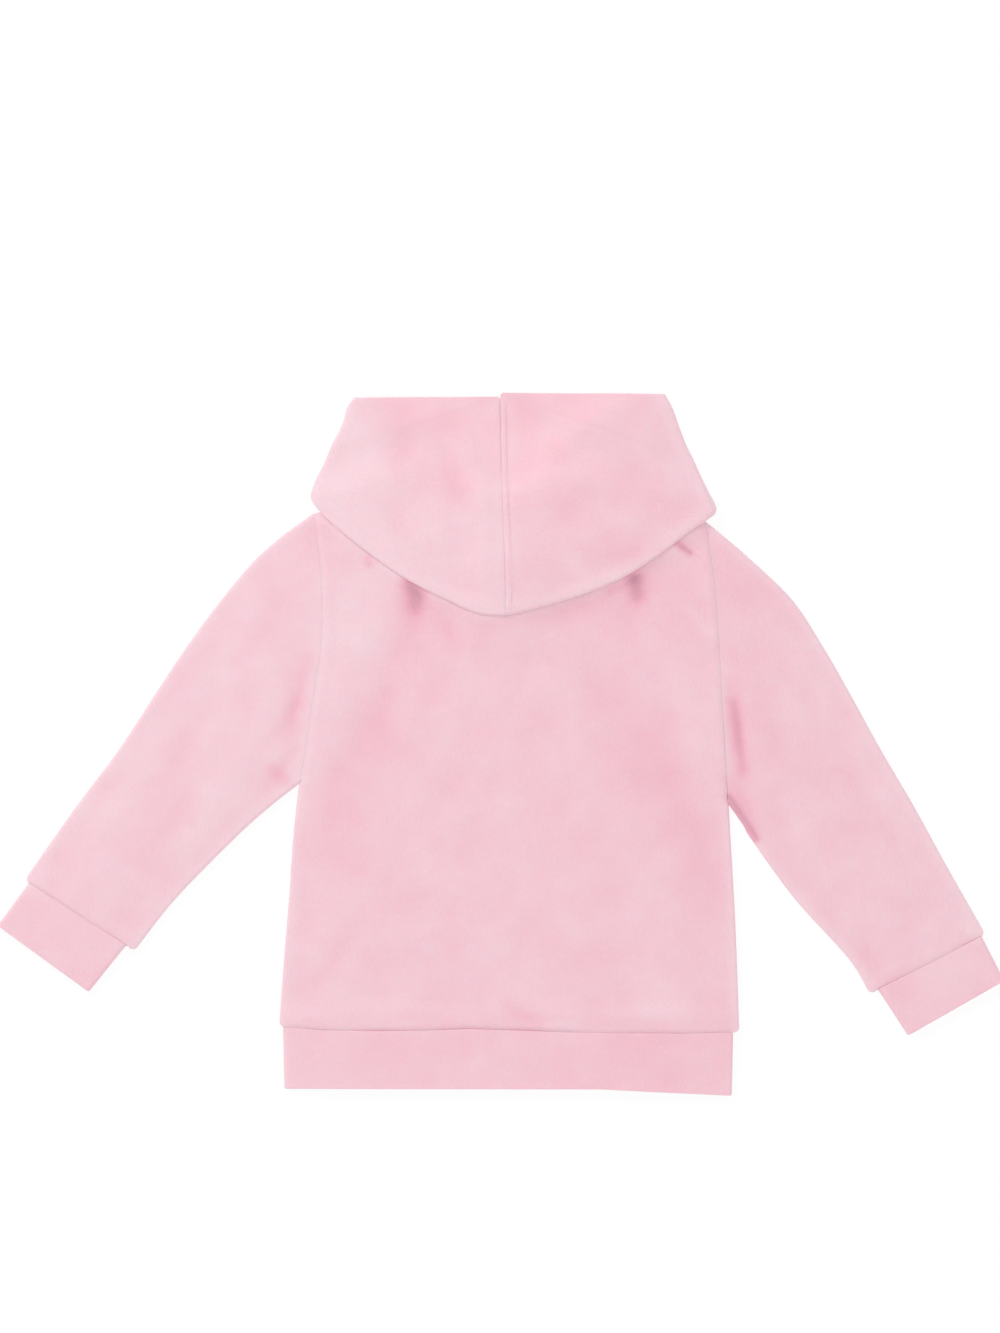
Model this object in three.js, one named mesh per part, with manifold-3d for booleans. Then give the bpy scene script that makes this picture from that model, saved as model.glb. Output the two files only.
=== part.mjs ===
// A small child's zip-up hooded jacket in brushed fleece, laid out flat on its front.
//
// Millimetres, +Z up. The jacket lies on z = 0 with its back uppermost; +Y runs from the hem to the
// hood and +X to the right, seen from above. "Left" and "right" are as seen from above.
// Each piece of cloth is one wall: a middle surface, worked out from the sizes below, with half the
// cloth's thickness laid out along its normal on either side. The body and the sleeves are flattened
// tubes that share one pair of height fields, so that a piece meets its neighbour at every seam.

import * as THREE from "three";
import { mergeVertices } from "three/addons/utils/BufferGeometryUtils.js";
import ManifoldModule from "manifold-3d";

// ---- Driving sizes ----------------------------------------------------------------------------

const CLOTH = 2.0; // brushed fleece
const BAND = 2.4; // hem band and cuffs, the same cloth pressed double
const SEAM = 0.3; // clear gap between two pieces at a seam
const FOLD_R = 1.5; // middle radius of the fold where the two layers of a tube join
const CROWN = 1.8; // how far the upper layer stands off the lower one, well inside the outline
const CROWN_REACH = 46; // distance from the outline over which it rises to that
const BLOUSE = { height: 1.3, above: 9, width: 7, edge: 8 }; // the back, hanging over the hem band
const FOLD_END = 0.55; // a fold's height at its ends, as a share of its height at the middle
const FOLD_FADE = 14; // folds die out over this distance from an outline
const HOOD_CROWN = 2.0; // the same for the hood's upper layer over its lower one
const HOOD_REACH = 40;

const ZIP_X = -1; // the centre front
const ZIP_HALF_GAP = 5; // from the centre front to each front edge
const ZIP_TOP = 382;
const TAPE = 1.0; // thickness of the woven zip tape
const TAPE_WIDTH = 13;
const SLIDER_Y = 371;
const SLIDER_LENGTH = 12;
const SLIDER_LIFT = 2.7; // how far the slider and its pull hold the fronts off the surface
const BACK_LIFT = 3.0; // and the back, above them
const LIFT_LEVEL = 9; // it is level this far out from them,
const LIFT_EASE = 34; // and comes down over this much more
const HEM_Y = 44; // the hem seam at the centre

// ---- The outline of each side, as the middle line of the cloth ---------------------------------

const SIDES = {
  left: {
    sign: -1,
    // side seam from the hem seam to the underarm, then the armhole to the shoulder point
    edge: [
      { y: 46, x: -169.2 },
      { y: 95, x: -165.7 },
      { y: 140, x: -162 },
      { y: 180, x: -159.3 },
      { y: 225, x: -154.5 },
      { y: 250, x: -150 },
      { y: 285, x: -145 },
      { y: 322, x: -139.5 },
      { y: 358, x: -138.4 },
      { y: 392, x: -140.6 },
      { y: 420, x: -144.4 },
    ],
    underarm: 225,
    neckPoint: { x: -67, y: 445 },
    // the sleeve's upper edge from the shoulder point to the cuff seam
    over: [
      { x: -145.1, y: 419.9 },
      { x: -171, y: 400.8 },
      { x: -194, y: 378.8 },
      { x: -228.3, y: 335.3 },
      { x: -257.5, y: 292.2 },
      { x: -286.1, y: 248.4 },
      { x: -319, y: 204.5 },
      { x: -355.2, y: 153 },
    ],
    // and its lower edge from the underarm to the cuff seam
    under: [
      { x: -155.2, y: 225.1 },
      { x: -179.5, y: 205.8 },
      { x: -203.6, y: 184 },
      { x: -246.5, y: 140.2 },
      { x: -276.4, y: 102.4 },
    ],
    cuff: {
      seam: { over: { x: -352, y: 150.4 }, under: { x: -283, y: 106 } },
      end: { over: { x: -374.9, y: 119.1 }, under: { x: -310.3, y: 72.1 } },
    },
  },
  right: {
    sign: 1,
    edge: [
      { y: 42, x: 165.3 },
      { y: 90, x: 163.7 },
      { y: 130, x: 162 },
      { y: 175, x: 159.4 },
      { y: 210, x: 157.4 },
      { y: 246, x: 155.3 },
      { y: 278, x: 153.2 },
      { y: 313, x: 151.6 },
      { y: 358, x: 148.8 },
      { y: 390, x: 145 },
      { y: 414.4, x: 140.7 },
    ],
    underarm: 210,
    neckPoint: { x: 66, y: 442 },
    over: [
      { x: 141.4, y: 414.2 },
      { x: 169.3, y: 390.7 },
      { x: 203.6, y: 357.8 },
      { x: 225.4, y: 325 },
      { x: 244.4, y: 292.2 },
      { x: 268.5, y: 248.4 },
      { x: 294.1, y: 204.6 },
      { x: 318.1, y: 160.8 },
      { x: 345.2, y: 113.3 },
    ],
    under: [
      { x: 158.3, y: 210.2 },
      { x: 174.5, y: 183.8 },
      { x: 207.3, y: 140.2 },
      { x: 246.7, y: 96.4 },
      { x: 262.2, y: 71 },
    ],
    cuff: {
      seam: { over: { x: 342.4, y: 111.3 }, under: { x: 268.6, y: 73.6 } },
      end: { over: { x: 358.9, y: 79 }, under: { x: 290.5, y: 40 } },
    },
  },
};

const BACK_NECK_DROP = 17; // from the neck points to the lowest point of the back neckline
const HEM_DIP = 3; // how far the hem seam sags between the sides and the centre
// the lower edge of the hem band: it runs nearly level as far as its bend, then falls away to the right
const BAND_FOOT = { left: 0.6, bend: 0.3, right: -4.8 };
const FOOT_BEND = 0.7; // as a share of the width
const BAND_INSET = { left: 3, right: 4.7 }; // the band is pulled in this far at each side
const BAND_TAPER = 1; // and this much more at its foot

// The slider and its pull, as heights above the surface the jacket lies on.
const BRIDGE = { bottom: 0.2, top: 1.0, width: 2.4, length: 8.6, leg: 1.2 };
const FACE_PLATE = { bottom: 2.6, top: 3.5, width: 9 };
const POST = { half: 0.8, start: 1.6, end: 5.2 }; // it joins the two plates, between the tapes
const OVERLAP = 0.2; // solids that are joined into one run into each other by this much
const INNER_PLATE = { bottom: 6.3, top: 7.2, width: 8.4 };
const PULL = { axis: 1.8, bar: 0.5, thickness: 1.0, length: 23, width: 6.6, tilt: 2.9 };
const PULL_NECK = { share: 0.8, length: 8 }; // the tab is narrower by the bridge
const FORK = { half: 1.7, length: 6.2 }; // and forks round it
const SLOT_SHARE = 0.45; // the slot's size, as a share of the tab's
const BAR_SHARE = 1.55; // the bar's length, as a share of half the tab's width

// ---- Folds in the upper layer: a positive height is a ridge, a negative one a trough ------------

const FOLDS = [
  // the back, from the hood towards each side
  { x1: -62, y1: 352, x2: -128, y2: 168, bend: -10, width: 17, height: -1.5 },
  { x1: -98, y1: 345, x2: -147, y2: 232, bend: -4, width: 13, height: 1.1 },
  { x1: 62, y1: 300, x2: 146, y2: 150, bend: 9, width: 18, height: -1.5 },
  { x1: 110, y1: 320, x2: 148, y2: 212, bend: 4, width: 12, height: 1.0 },
  { x1: 8, y1: 66, x2: 44, y2: 46, bend: 0, width: 12, height: 1.2 },
  // under the hood's edge
  { x1: -75, y1: 372, x2: -70, y2: 340, bend: 0, width: 8, height: -1.7 },
  { x1: 92, y1: 382, x2: 88, y2: 345, bend: 0, width: 8, height: -1.6 },
  // beside the armholes
  { x1: -162, y1: 300, x2: -156, y2: 250, bend: 0, width: 7, height: -1.6 },
  { x1: 160, y1: 296, x2: 168, y2: 232, bend: 0, width: 6, height: -1.9 },
  { x1: 174, y1: 300, x2: 186, y2: 224, bend: 2, width: 9, height: 1.0 },
  // the sleeves
  { x1: -190, y1: 340, x2: -262, y2: 190, bend: -8, width: 12, height: -1.1 },
  { x1: -172, y1: 290, x2: -232, y2: 178, bend: 0, width: 12, height: 0.9 },
  { x1: 206, y1: 300, x2: 262, y2: 190, bend: 6, width: 13, height: -0.9 },
  { x1: -300, y1: 168, x2: -322, y2: 142, bend: 0, width: 9, height: 0.8 },
  { x1: 300, y1: 130, x2: 318, y2: 100, bend: 0, width: 9, height: 0.8 },
];

// ---- Plain mathematics --------------------------------------------------------------------------

const clamp = (v, lo = 0, hi = 1) => Math.min(hi, Math.max(lo, v));
const mix = (a, b, t) => a + (b - a) * t;
const mixPoint = (a, b, t) => ({ x: mix(a.x, b.x, t), y: mix(a.y, b.y, t) });
const smooth = (t) => {
  const c = clamp(t);
  return c * c * (3 - 2 * c);
};
const radians = (degrees) => (degrees * Math.PI) / 180;

// A smooth function through a table's rows: the column `to` as a function of the column `from`.
function through(rows, from, to) {
  const slope = (k) => {
    const a = rows[Math.max(k - 1, 0)];
    const b = rows[Math.min(k + 1, rows.length - 1)];
    return (b[to] - a[to]) / (b[from] - a[from]);
  };
  return (v) => {
    let k = rows.findIndex((row) => row[from] > v) - 1;
    if (k < 0) k = v < rows[0][from] ? 0 : rows.length - 2;
    const span = rows[k + 1][from] - rows[k][from];
    const t = clamp((v - rows[k][from]) / span);
    const h = t * t * (3 - 2 * t);
    const start = slope(k) * span * (t * t * t - 2 * t * t + t);
    const end = slope(k + 1) * span * (t * t * t - t * t);
    return mix(rows[k][to], rows[k + 1][to], h) + start + end;
  };
}

const curveOf = (points) => new THREE.SplineCurve(points.map((p) => new THREE.Vector2(p.x, p.y)));

function distanceToLine(line, x, y) {
  let best = Infinity;
  for (let k = 0; k + 1 < line.length; k++) {
    const dx = line[k + 1].x - line[k].x;
    const dy = line[k + 1].y - line[k].y;
    const t = clamp(((x - line[k].x) * dx + (y - line[k].y) * dy) / (dx * dx + dy * dy));
    best = Math.min(best, Math.hypot(x - line[k].x - dx * t, y - line[k].y - dy * t));
  }
  return best;
}

// ---- What each side's table gives ---------------------------------------------------------------

for (const side of Object.values(SIDES)) {
  side.edgeX = through(side.edge, "y", "x");
  side.hem = side.edge[0];
  side.shoulder = side.edge[side.edge.length - 1];
  side.overCurve = curveOf(side.over);
  side.underCurve = curveOf(side.under);
  const seam = side.edge.filter((p) => p.y <= side.underarm);
  side.joined = [
    [side.neckPoint, side.shoulder, ...side.overCurve.getPoints(40)],
    [{ x: seam[0].x, y: seam[0].y - 60 }, ...seam, ...side.underCurve.getPoints(30)],
  ];
}
const { left: LEFT, right: RIGHT } = SIDES;

// The outward direction halfway between two runs of an outline that meet at a point.
function cornerNormal(sign, before, corner, after) {
  const turned = (a, b) => new THREE.Vector3(b.y - a.y, a.x - b.x, 0).normalize();
  return turned(before, corner).add(turned(corner, after)).multiplyScalar(sign).normalize();
}

for (const side of Object.values(SIDES)) {
  const below = side.edge.filter((p) => p.y < side.underarm).pop();
  const underarm = { x: side.edgeX(side.underarm), y: side.underarm };
  side.underarmNormal = cornerNormal(side.sign, below, underarm, side.underCurve.getPointAt(0.15));
  side.shoulderNormal = cornerNormal(
    -side.sign,
    side.neckPoint,
    side.shoulder,
    side.overCurve.getPointAt(0.1),
  );
}

// Distance from a point to the nearest line where the upper and lower layers join.
function edgeDistance(x, y) {
  const side = x < 0 ? LEFT : RIGHT;
  return Math.min(...side.joined.map((line) => distanceToLine(line, x, y)));
}

const bell = (v, width) => Math.exp(-((v / width) ** 2));

// The height of a table's folds at a point. Each one fades past its ends, and `waned` ones are lower
// there to begin with.
function foldHeight(folds, x, y, waned) {
  let sum = 0;
  for (const f of folds) {
    const dx = f.x2 - f.x1;
    const dy = f.y2 - f.y1;
    const length = Math.hypot(dx, dy);
    const t = ((x - f.x1) * dx + (y - f.y1) * dy) / (length * length);
    const across = ((x - f.x1) * dy - (y - f.y1) * dx) / length + f.bend * 4 * t * (1 - t);
    const past = Math.max(0, -t, t - 1) * length;
    const ends = waned ? mix(FOLD_END, 1, smooth(2 * t) * smooth(2 - 2 * t)) : 1;
    sum += f.height * bell(across, f.width) * bell(past, f.width) * ends;
  }
  return sum;
}

// The cloth over the slider and its pull is held off the surface.
function lift(x, y) {
  const over = clamp(y, SLIDER_Y - PULL.length, SLIDER_Y + SLIDER_LENGTH / 2);
  const reach = Math.hypot(x - ZIP_X, y - over);
  return SLIDER_LIFT * (1 - smooth((reach - LIFT_LEVEL) / LIFT_EASE));
}

const backLift = (x, y) => (BACK_LIFT / SLIDER_LIFT) * lift(x, y);

const EQUATOR = CLOTH / 2 + FOLD_R;
const roll = (d, r = FOLD_R) => r * Math.sqrt(1 - (1 - clamp(d / r)) ** 2);

const underHeight = (x, y) => EQUATOR - roll(edgeDistance(x, y)) + lift(x, y);

function topHeight(x, y) {
  const d = edgeDistance(x, y);
  const blouse = BLOUSE.height * bell(y - HEM_Y - BLOUSE.above, BLOUSE.width) * smooth(d / BLOUSE.edge);
  const creased = foldHeight(FOLDS, x, y, true) * smooth(d / FOLD_FADE);
  const stand = CROWN * smooth(d / CROWN_REACH) + creased + blouse;
  return EQUATOR + roll(d) + Math.max(stand, 0) + backLift(x, y);
}

// ---- Walls --------------------------------------------------------------------------------------

const point = (p, z) => new THREE.Vector3(p.x, p.y, z);

// Normals of a grid of middle points, from each point's neighbours.
function normalsOf(mid, closed) {
  const rows = mid.length;
  const cols = mid[0].length;
  const at = (i, j) => mid[clamp(i, 0, rows - 1)][closed ? (j + cols) % cols : clamp(j, 0, cols - 1)];
  return mid.map((row, i) =>
    row.map((_, j) => {
      const along = at(i + 1, j).clone().sub(at(i - 1, j));
      const across = at(i, j + 1).clone().sub(at(i, j - 1));
      return across.cross(along).normalize();
    }),
  );
}

// A closed solid from faces of 3 or 4 points, turned to face outwards.
function solid(faces) {
  const position = [];
  let volume = 0;
  for (const face of faces)
    for (let k = 1; k + 1 < face.length; k++) {
      const [a, b, c] = [face[0], face[k], face[k + 1]];
      volume += a.dot(b.clone().cross(c));
      position.push([a, b, c]);
    }
  const turned = volume < 0 ? position.map(([a, b, c]) => [a, c, b]) : position;
  const numbers = turned.flatMap((t) => t.flatMap((p) => [p.x, p.y, p.z]));
  return new THREE.BufferGeometry().setAttribute(
    "position",
    new THREE.Float32BufferAttribute(numbers, 3),
  );
}

// A wall of the given thickness about a grid of middle points. A closed wall's rows are rings.
function wall(mid, options = {}) {
  const { thickness = CLOTH, closed = false, taper = () => 1 } = options;
  const { normals = normalsOf(mid, closed) } = options;
  const rows = mid.length;
  const cols = mid[0].length;
  const skin = (side) =>
    mid.map((row, i) =>
      row.map((p, j) => p.clone().addScaledVector(normals[i][j], (side * thickness * taper(i)) / 2)),
    );
  const outer = skin(1);
  const inner = skin(-1);
  const faces = [];
  for (let i = 0; i + 1 < rows; i++)
    for (let j = 0; j < (closed ? cols : cols - 1); j++) {
      const k = (j + 1) % cols;
      faces.push([outer[i][j], outer[i][k], outer[i + 1][k], outer[i + 1][j]]);
      faces.push([inner[i][j], inner[i + 1][j], inner[i + 1][k], inner[i][k]]);
    }
  for (let j = 0; j < (closed ? cols : cols - 1); j++) {
    const k = (j + 1) % cols;
    const last = rows - 1;
    faces.push([inner[0][j], inner[0][k], outer[0][k], outer[0][j]]);
    faces.push([outer[last][j], outer[last][k], inner[last][k], inner[last][j]]);
  }
  if (!closed)
    for (let i = 0; i + 1 < rows; i++) {
      const last = cols - 1;
      faces.push([outer[i][0], outer[i + 1][0], inner[i + 1][0], inner[i][0]]);
      faces.push([inner[i][last], inner[i + 1][last], outer[i + 1][last], outer[i][last]]);
    }
  return solid(faces);
}

// Distances from a folded edge at which a wall is sampled, so that the fold comes out round.
const EDGE_STOPS = [0, 0.3 * FOLD_R, FOLD_R, 7];

// Shares of a width that has such an edge at one end or both, with `count` even steps between.
function shares(width, count, { start = true, end = true } = {}) {
  const head = start ? EDGE_STOPS : [0];
  const tail = end ? EDGE_STOPS : [0];
  const a = head[head.length - 1];
  const b = width - tail[tail.length - 1];
  const even = Array.from({ length: count - 1 }, (_, k) => mix(a, b, (k + 1) / count));
  return [...head, ...even, ...tail.map((s) => width - s).reverse()].map((s) => s / width);
}

// ---- The body -------------------------------------------------------------------------------------

const SIDE_ROWS = 10; // rows from the hem seam to the underarm
const ARM_ROWS = 11; // and from there to the shoulder

const backNeck = through(
  [
    { x: LEFT.neckPoint.x, y: LEFT.neckPoint.y },
    { x: -45, y: 433.5 },
    { x: -1, y: 445 - BACK_NECK_DROP },
    { x: 45, y: 432.5 },
    { x: RIGHT.neckPoint.x, y: RIGHT.neckPoint.y },
  ],
  "x",
  "y",
);

// The front neckline, from a neck point to the zip, as a share of the way across and down.
const FRONT_NECK = [
  { across: 0, down: 0 },
  { across: 0.07, down: 0.36 },
  { across: 0.25, down: 0.68 },
  { across: 0.56, down: 0.92 },
  { across: 1, down: 1 },
];
const frontNeckDown = through(FRONT_NECK, "across", "down");

// Where both the front's columns and the hood's rows meet that neckline.
const NECK_STOPS = [0.07, 0.16, 0.25, 0.405, 0.56, 0.78, 1];

const shoulderY = (side, x) =>
  mix(side.shoulder.y, side.neckPoint.y, (x - side.shoulder.x) / (side.neckPoint.x - side.shoulder.x));

function backTop(x) {
  if (x < LEFT.neckPoint.x) return shoulderY(LEFT, x);
  if (x > RIGHT.neckPoint.x) return shoulderY(RIGHT, x);
  return backNeck(x);
}

function frontTop(side, x) {
  if (side.sign * (x - side.neckPoint.x) > 0) return shoulderY(side, x);
  const across = (x - side.neckPoint.x) / (ZIP_X + side.sign * ZIP_HALF_GAP - side.neckPoint.x);
  return mix(side.neckPoint.y, ZIP_TOP + 3, frontNeckDown(across));
}

const HEM_SWAY = 1.2; // and how far it then wanders to each side of that
const HEM_DIP_SHARE = 1 / 2.4; // the sag takes up this share of the width, from the left
const hemWave = (share) =>
  HEM_SWAY * Math.sin(2 * Math.PI * share) - HEM_DIP * Math.sin(Math.PI * clamp(share / HEM_DIP_SHARE));

// Row heights at one side, as y on its edge: evenly to the underarm, then to the shoulder.
function rowHeights(side) {
  const low = Array.from({ length: SIDE_ROWS }, (_, k) => mix(side.hem.y, side.underarm, k / SIDE_ROWS));
  const rise = side.shoulder.y - side.underarm;
  const high = shares(rise, ARM_ROWS - 3, { start: false }).map((s) => side.underarm + s * rise);
  return [...low, ...high];
}

// How much a row takes part in the shape of the top edge.
const topShare = (v) => clamp(v) ** 1.6;

// One layer of the body between two edges, as rows of points. `top` is the upper edge's height at x.
function bodyGrid(a, b, columns, top, height) {
  return a.map((start, i) => {
    const end = b[i];
    const v = (i - SIDE_ROWS) / (a.length - 1 - SIDE_ROWS);
    return columns.map((share) => {
      const x = mix(start.x, end.x, share);
      const topX = mix(a[a.length - 1].x, b[b.length - 1].x, share);
      const base = mix(a[a.length - 1].y, b[b.length - 1].y, share);
      const rise = v > 0 ? (top(topX) - base) * topShare(v) : 0;
      const wave = hemWave((x - LEFT.hem.x) / (RIGHT.hem.x - LEFT.hem.x)) * clamp(1 - i / 3) ** 2;
      const y = mix(start.y, end.y, share) + rise + wave;
      return point({ x, y }, height(x, y));
    });
  });
}

// Normals of a height field. Along the side and shoulder seams they lie level, square to the seam,
// because each layer ends there on the fold's widest line.
function bodyNormals(grid, height, up, seams) {
  const step = 0.05;
  return grid.map((row, i) =>
    row.map((p, j) => {
      const slopeX = (height(p.x + step, p.y) - height(p.x - step, p.y)) / (2 * step);
      const slopeY = (height(p.x, p.y + step) - height(p.x, p.y - step)) / (2 * step);
      const side = p.x < 0 ? LEFT : RIGHT;
      if (i < SIDE_ROWS && seams.sides.includes(j)) return new THREE.Vector3(side.sign, 0, 0);
      if (i === SIDE_ROWS && seams.sides.includes(j)) return side.underarmNormal;
      if (i === grid.length - 1 && seams.shoulders(j)) return side.shoulderNormal;
      return new THREE.Vector3(-slopeX, -slopeY, 1).multiplyScalar(up).normalize();
    }),
  );
}

const edgePoints = (side) => rowHeights(side).map((y) => ({ x: side.edgeX(y), y }));

// Clear of the fold's widest line by half a seam.
const backHeight = (x, y) => Math.max(topHeight(x, y), EQUATOR + SEAM / 2);
const frontHeight = (x, y) => Math.min(underHeight(x, y), EQUATOR - SEAM / 2 + lift(x, y));

function backPanel() {
  const a = edgePoints(LEFT);
  const b = edgePoints(RIGHT);
  const width = RIGHT.shoulder.x - LEFT.shoulder.x;
  const neckLeft = (LEFT.neckPoint.x - LEFT.shoulder.x) / width;
  const neckRight = (RIGHT.neckPoint.x - LEFT.shoulder.x) / width;
  const head = shares(width * neckLeft, 5, { end: false }).map((s) => s * neckLeft);
  const neck = Array.from({ length: 13 }, (_, k) => mix(neckLeft, neckRight, (k + 1) / 14));
  const tail = shares(width * (1 - neckRight), 5, { start: false }).map((s) => mix(neckRight, 1, s));
  const columns = [...head, ...neck, ...tail];
  const grid = bodyGrid(a, b, columns, backTop, backHeight);
  const shoulders = (j) => j < head.length || j >= columns.length - tail.length;
  return wall(grid, {
    normals: bodyNormals(grid, topHeight, 1, { sides: [0, columns.length - 1], shoulders }),
  });
}

function frontPanel(side) {
  const a = edgePoints(side);
  const zipEdge = ZIP_X + side.sign * ZIP_HALF_GAP;
  const low = HEM_Y + hemWave(0.5) + 0.2;
  const b = a.map((p, i) => ({ x: zipEdge, y: mix(low, ZIP_TOP + 3, i / (a.length - 1)) }));
  const width = Math.abs(zipEdge - side.shoulder.x);
  const neck = Math.abs(side.neckPoint.x - side.shoulder.x) / width;
  const head = shares(width * neck, 4, { end: false }).map((s) => s * neck);
  const tail = NECK_STOPS.map((across) => mix(neck, 1, across));
  const columns = [...head, ...tail];
  const grid = bodyGrid(a, b, columns, (x) => frontTop(side, x), frontHeight);
  const shoulders = (j) => j < head.length;
  return wall(grid, { normals: bodyNormals(grid, underHeight, -1, { sides: [0], shoulders }) });
}

// ---- Sleeves, cuffs and hem band: flattened tubes -------------------------------------------------

// The points of one flattened ring, given where its two folds are: over the top and back underneath.
function ringPoints(place, width, count, top, under) {
  const across = shares(width, count);
  const over = across.map((t) => {
    const p = place(t);
    return point(p, top(p.x, p.y, t));
  });
  const back = across.slice(1, -1).reverse();
  const below = back.map((t) => {
    const p = place(t);
    return point(p, under(p.x, p.y, t));
  });
  return [...over, ...below];
}

const SLEEVE_ROWS = 12;

// A sleeve's plan: s runs from the armhole to the cuff, t from the upper to the lower edge.
function sleevePlace(side, s, t) {
  const over = side.overCurve.getPointAt(s);
  const under = side.underCurve.getPointAt(s);
  const p = mixPoint(over, under, t);
  const y = mix(side.shoulder.y, side.underarm, t);
  const chord = mix(side.shoulder.x, side.edgeX(side.underarm), t);
  const bow = (side.edgeX(y) - chord) * clamp(1 - s / 0.4) ** 2;
  return { x: p.x + bow, y: p.y };
}

function sleeve(side) {
  const rows = [];
  for (let i = 0; i <= SLEEVE_ROWS; i++) {
    const s = i / SLEEVE_ROWS;
    const place = (t) => sleevePlace(side, s, t);
    const width = Math.hypot(place(0).x - place(1).x, place(0).y - place(1).y);
    rows.push(ringPoints(place, width, 7, topHeight, underHeight));
  }
  const normals = normalsOf(rows, true);
  normals[0][0] = side.shoulderNormal;
  normals[0][rows[0].length / 2] = side.underarmNormal;
  return wall(rows, { closed: true, normals });
}

const BAND_R = (BAND + 1) / 2; // fold radius of the thicker band
const BAND_EQUATOR = BAND / 2 + BAND_R;
const BAND_LIP = 1.2; // its edges are pressed thinner over this distance
const BAND_THIN = 0.6; // by this share
const CUFF_STAND = 0.9; // the upper layers stand off the lower ones by this much
const BAND_STAND = 1.5;
const bandEnds = (rows) => (i) => (i === 0 || i === rows - 1 ? BAND_THIN : 1);

function cuff(side) {
  const { seam, end } = side.cuff;
  const length = Math.hypot(seam.over.x - end.over.x, seam.over.y - end.over.y);
  const along = [0, BAND_LIP / length, 0.36, 0.68, 1 - BAND_LIP / length, 1];
  const rows = along.map((s) => {
    const a = mixPoint(seam.over, end.over, s);
    const b = mixPoint(seam.under, end.under, s);
    const width = Math.hypot(a.x - b.x, a.y - b.y);
    const depth = (t) => roll(Math.min(t, 1 - t) * width, BAND_R);
    const stand = (t) => CUFF_STAND * Math.sin(Math.PI * t) * (1 - s / 2);
    return ringPoints(
      (t) => mixPoint(a, b, t),
      width,
      6,
      (x, y, t) => BAND_EQUATOR + depth(t) + stand(t),
      (x, y, t) => BAND_EQUATOR - depth(t),
    );
  });
  return wall(rows, { closed: true, thickness: BAND, taper: bandEnds(rows.length) });
}

// The hem band runs from one front edge round the back to the other.
function hemBand() {
  const shareAt = (x) => (x - LEFT.hem.x) / (RIGHT.hem.x - LEFT.hem.x);
  const seamY = (x) => mix(LEFT.hem.y, RIGHT.hem.y, shareAt(x)) + hemWave(shareAt(x)) - SEAM - 0.2;
  const footY = (x) => {
    const level = mix(BAND_FOOT.left, BAND_FOOT.bend, clamp(shareAt(x) / FOOT_BEND));
    return mix(level, BAND_FOOT.right, clamp((shareAt(x) - FOOT_BEND) / (1 - FOOT_BEND)));
  };
  const alongs = [0, 0.03, 0.35, 0.68, 0.97, 1];
  const rows = alongs.map((s) => {
    const a = LEFT.hem.x + BAND_INSET.left + BAND_TAPER * (1 - s);
    const b = RIGHT.hem.x - BAND_INSET.right - BAND_TAPER * (1 - s);
    const place = (x) => ({ x, y: mix(footY(x), seamY(x), s) });
    const over = shares(b - a, 16).map((t) => mix(a, b, t));
    const half = (side, edge) => {
      const inner = ZIP_X + side.sign * ZIP_HALF_GAP;
      return shares(Math.abs(inner - edge), 7, { end: false }).map((t) => mix(edge, inner, t));
    };
    const depth = (x) => roll(Math.min(x - a, b - x), BAND_R);
    const stand = (x) => BAND_STAND * smooth((Math.min(x - a, b - x) - 4) / 60);
    return [
      ...half(LEFT, a).slice(1).reverse().map((x) => point(place(x), BAND_EQUATOR - depth(x))),
      ...over.map((x) => point(place(x), BAND_EQUATOR + depth(x) + stand(x))),
      ...half(RIGHT, b).slice(1).map((x) => point(place(x), BAND_EQUATOR - depth(x))),
    ];
  });
  return wall(rows, { thickness: BAND, taper: bandEnds(rows.length) });
}

// ---- The hood: two halves that lie folded back over the shoulders ---------------------------------
//
// Each row is a section of one half, square to its folded outline: from the neck seam out under the
// hood to the outline, round the fold, and over the top to the middle of the face edge, where all the
// rows come together. The first row is the centre seam and the last one the face edge. Rows that
// reach the front neckline turn at a second point, past the neck point, to lie in one layer there.

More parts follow.
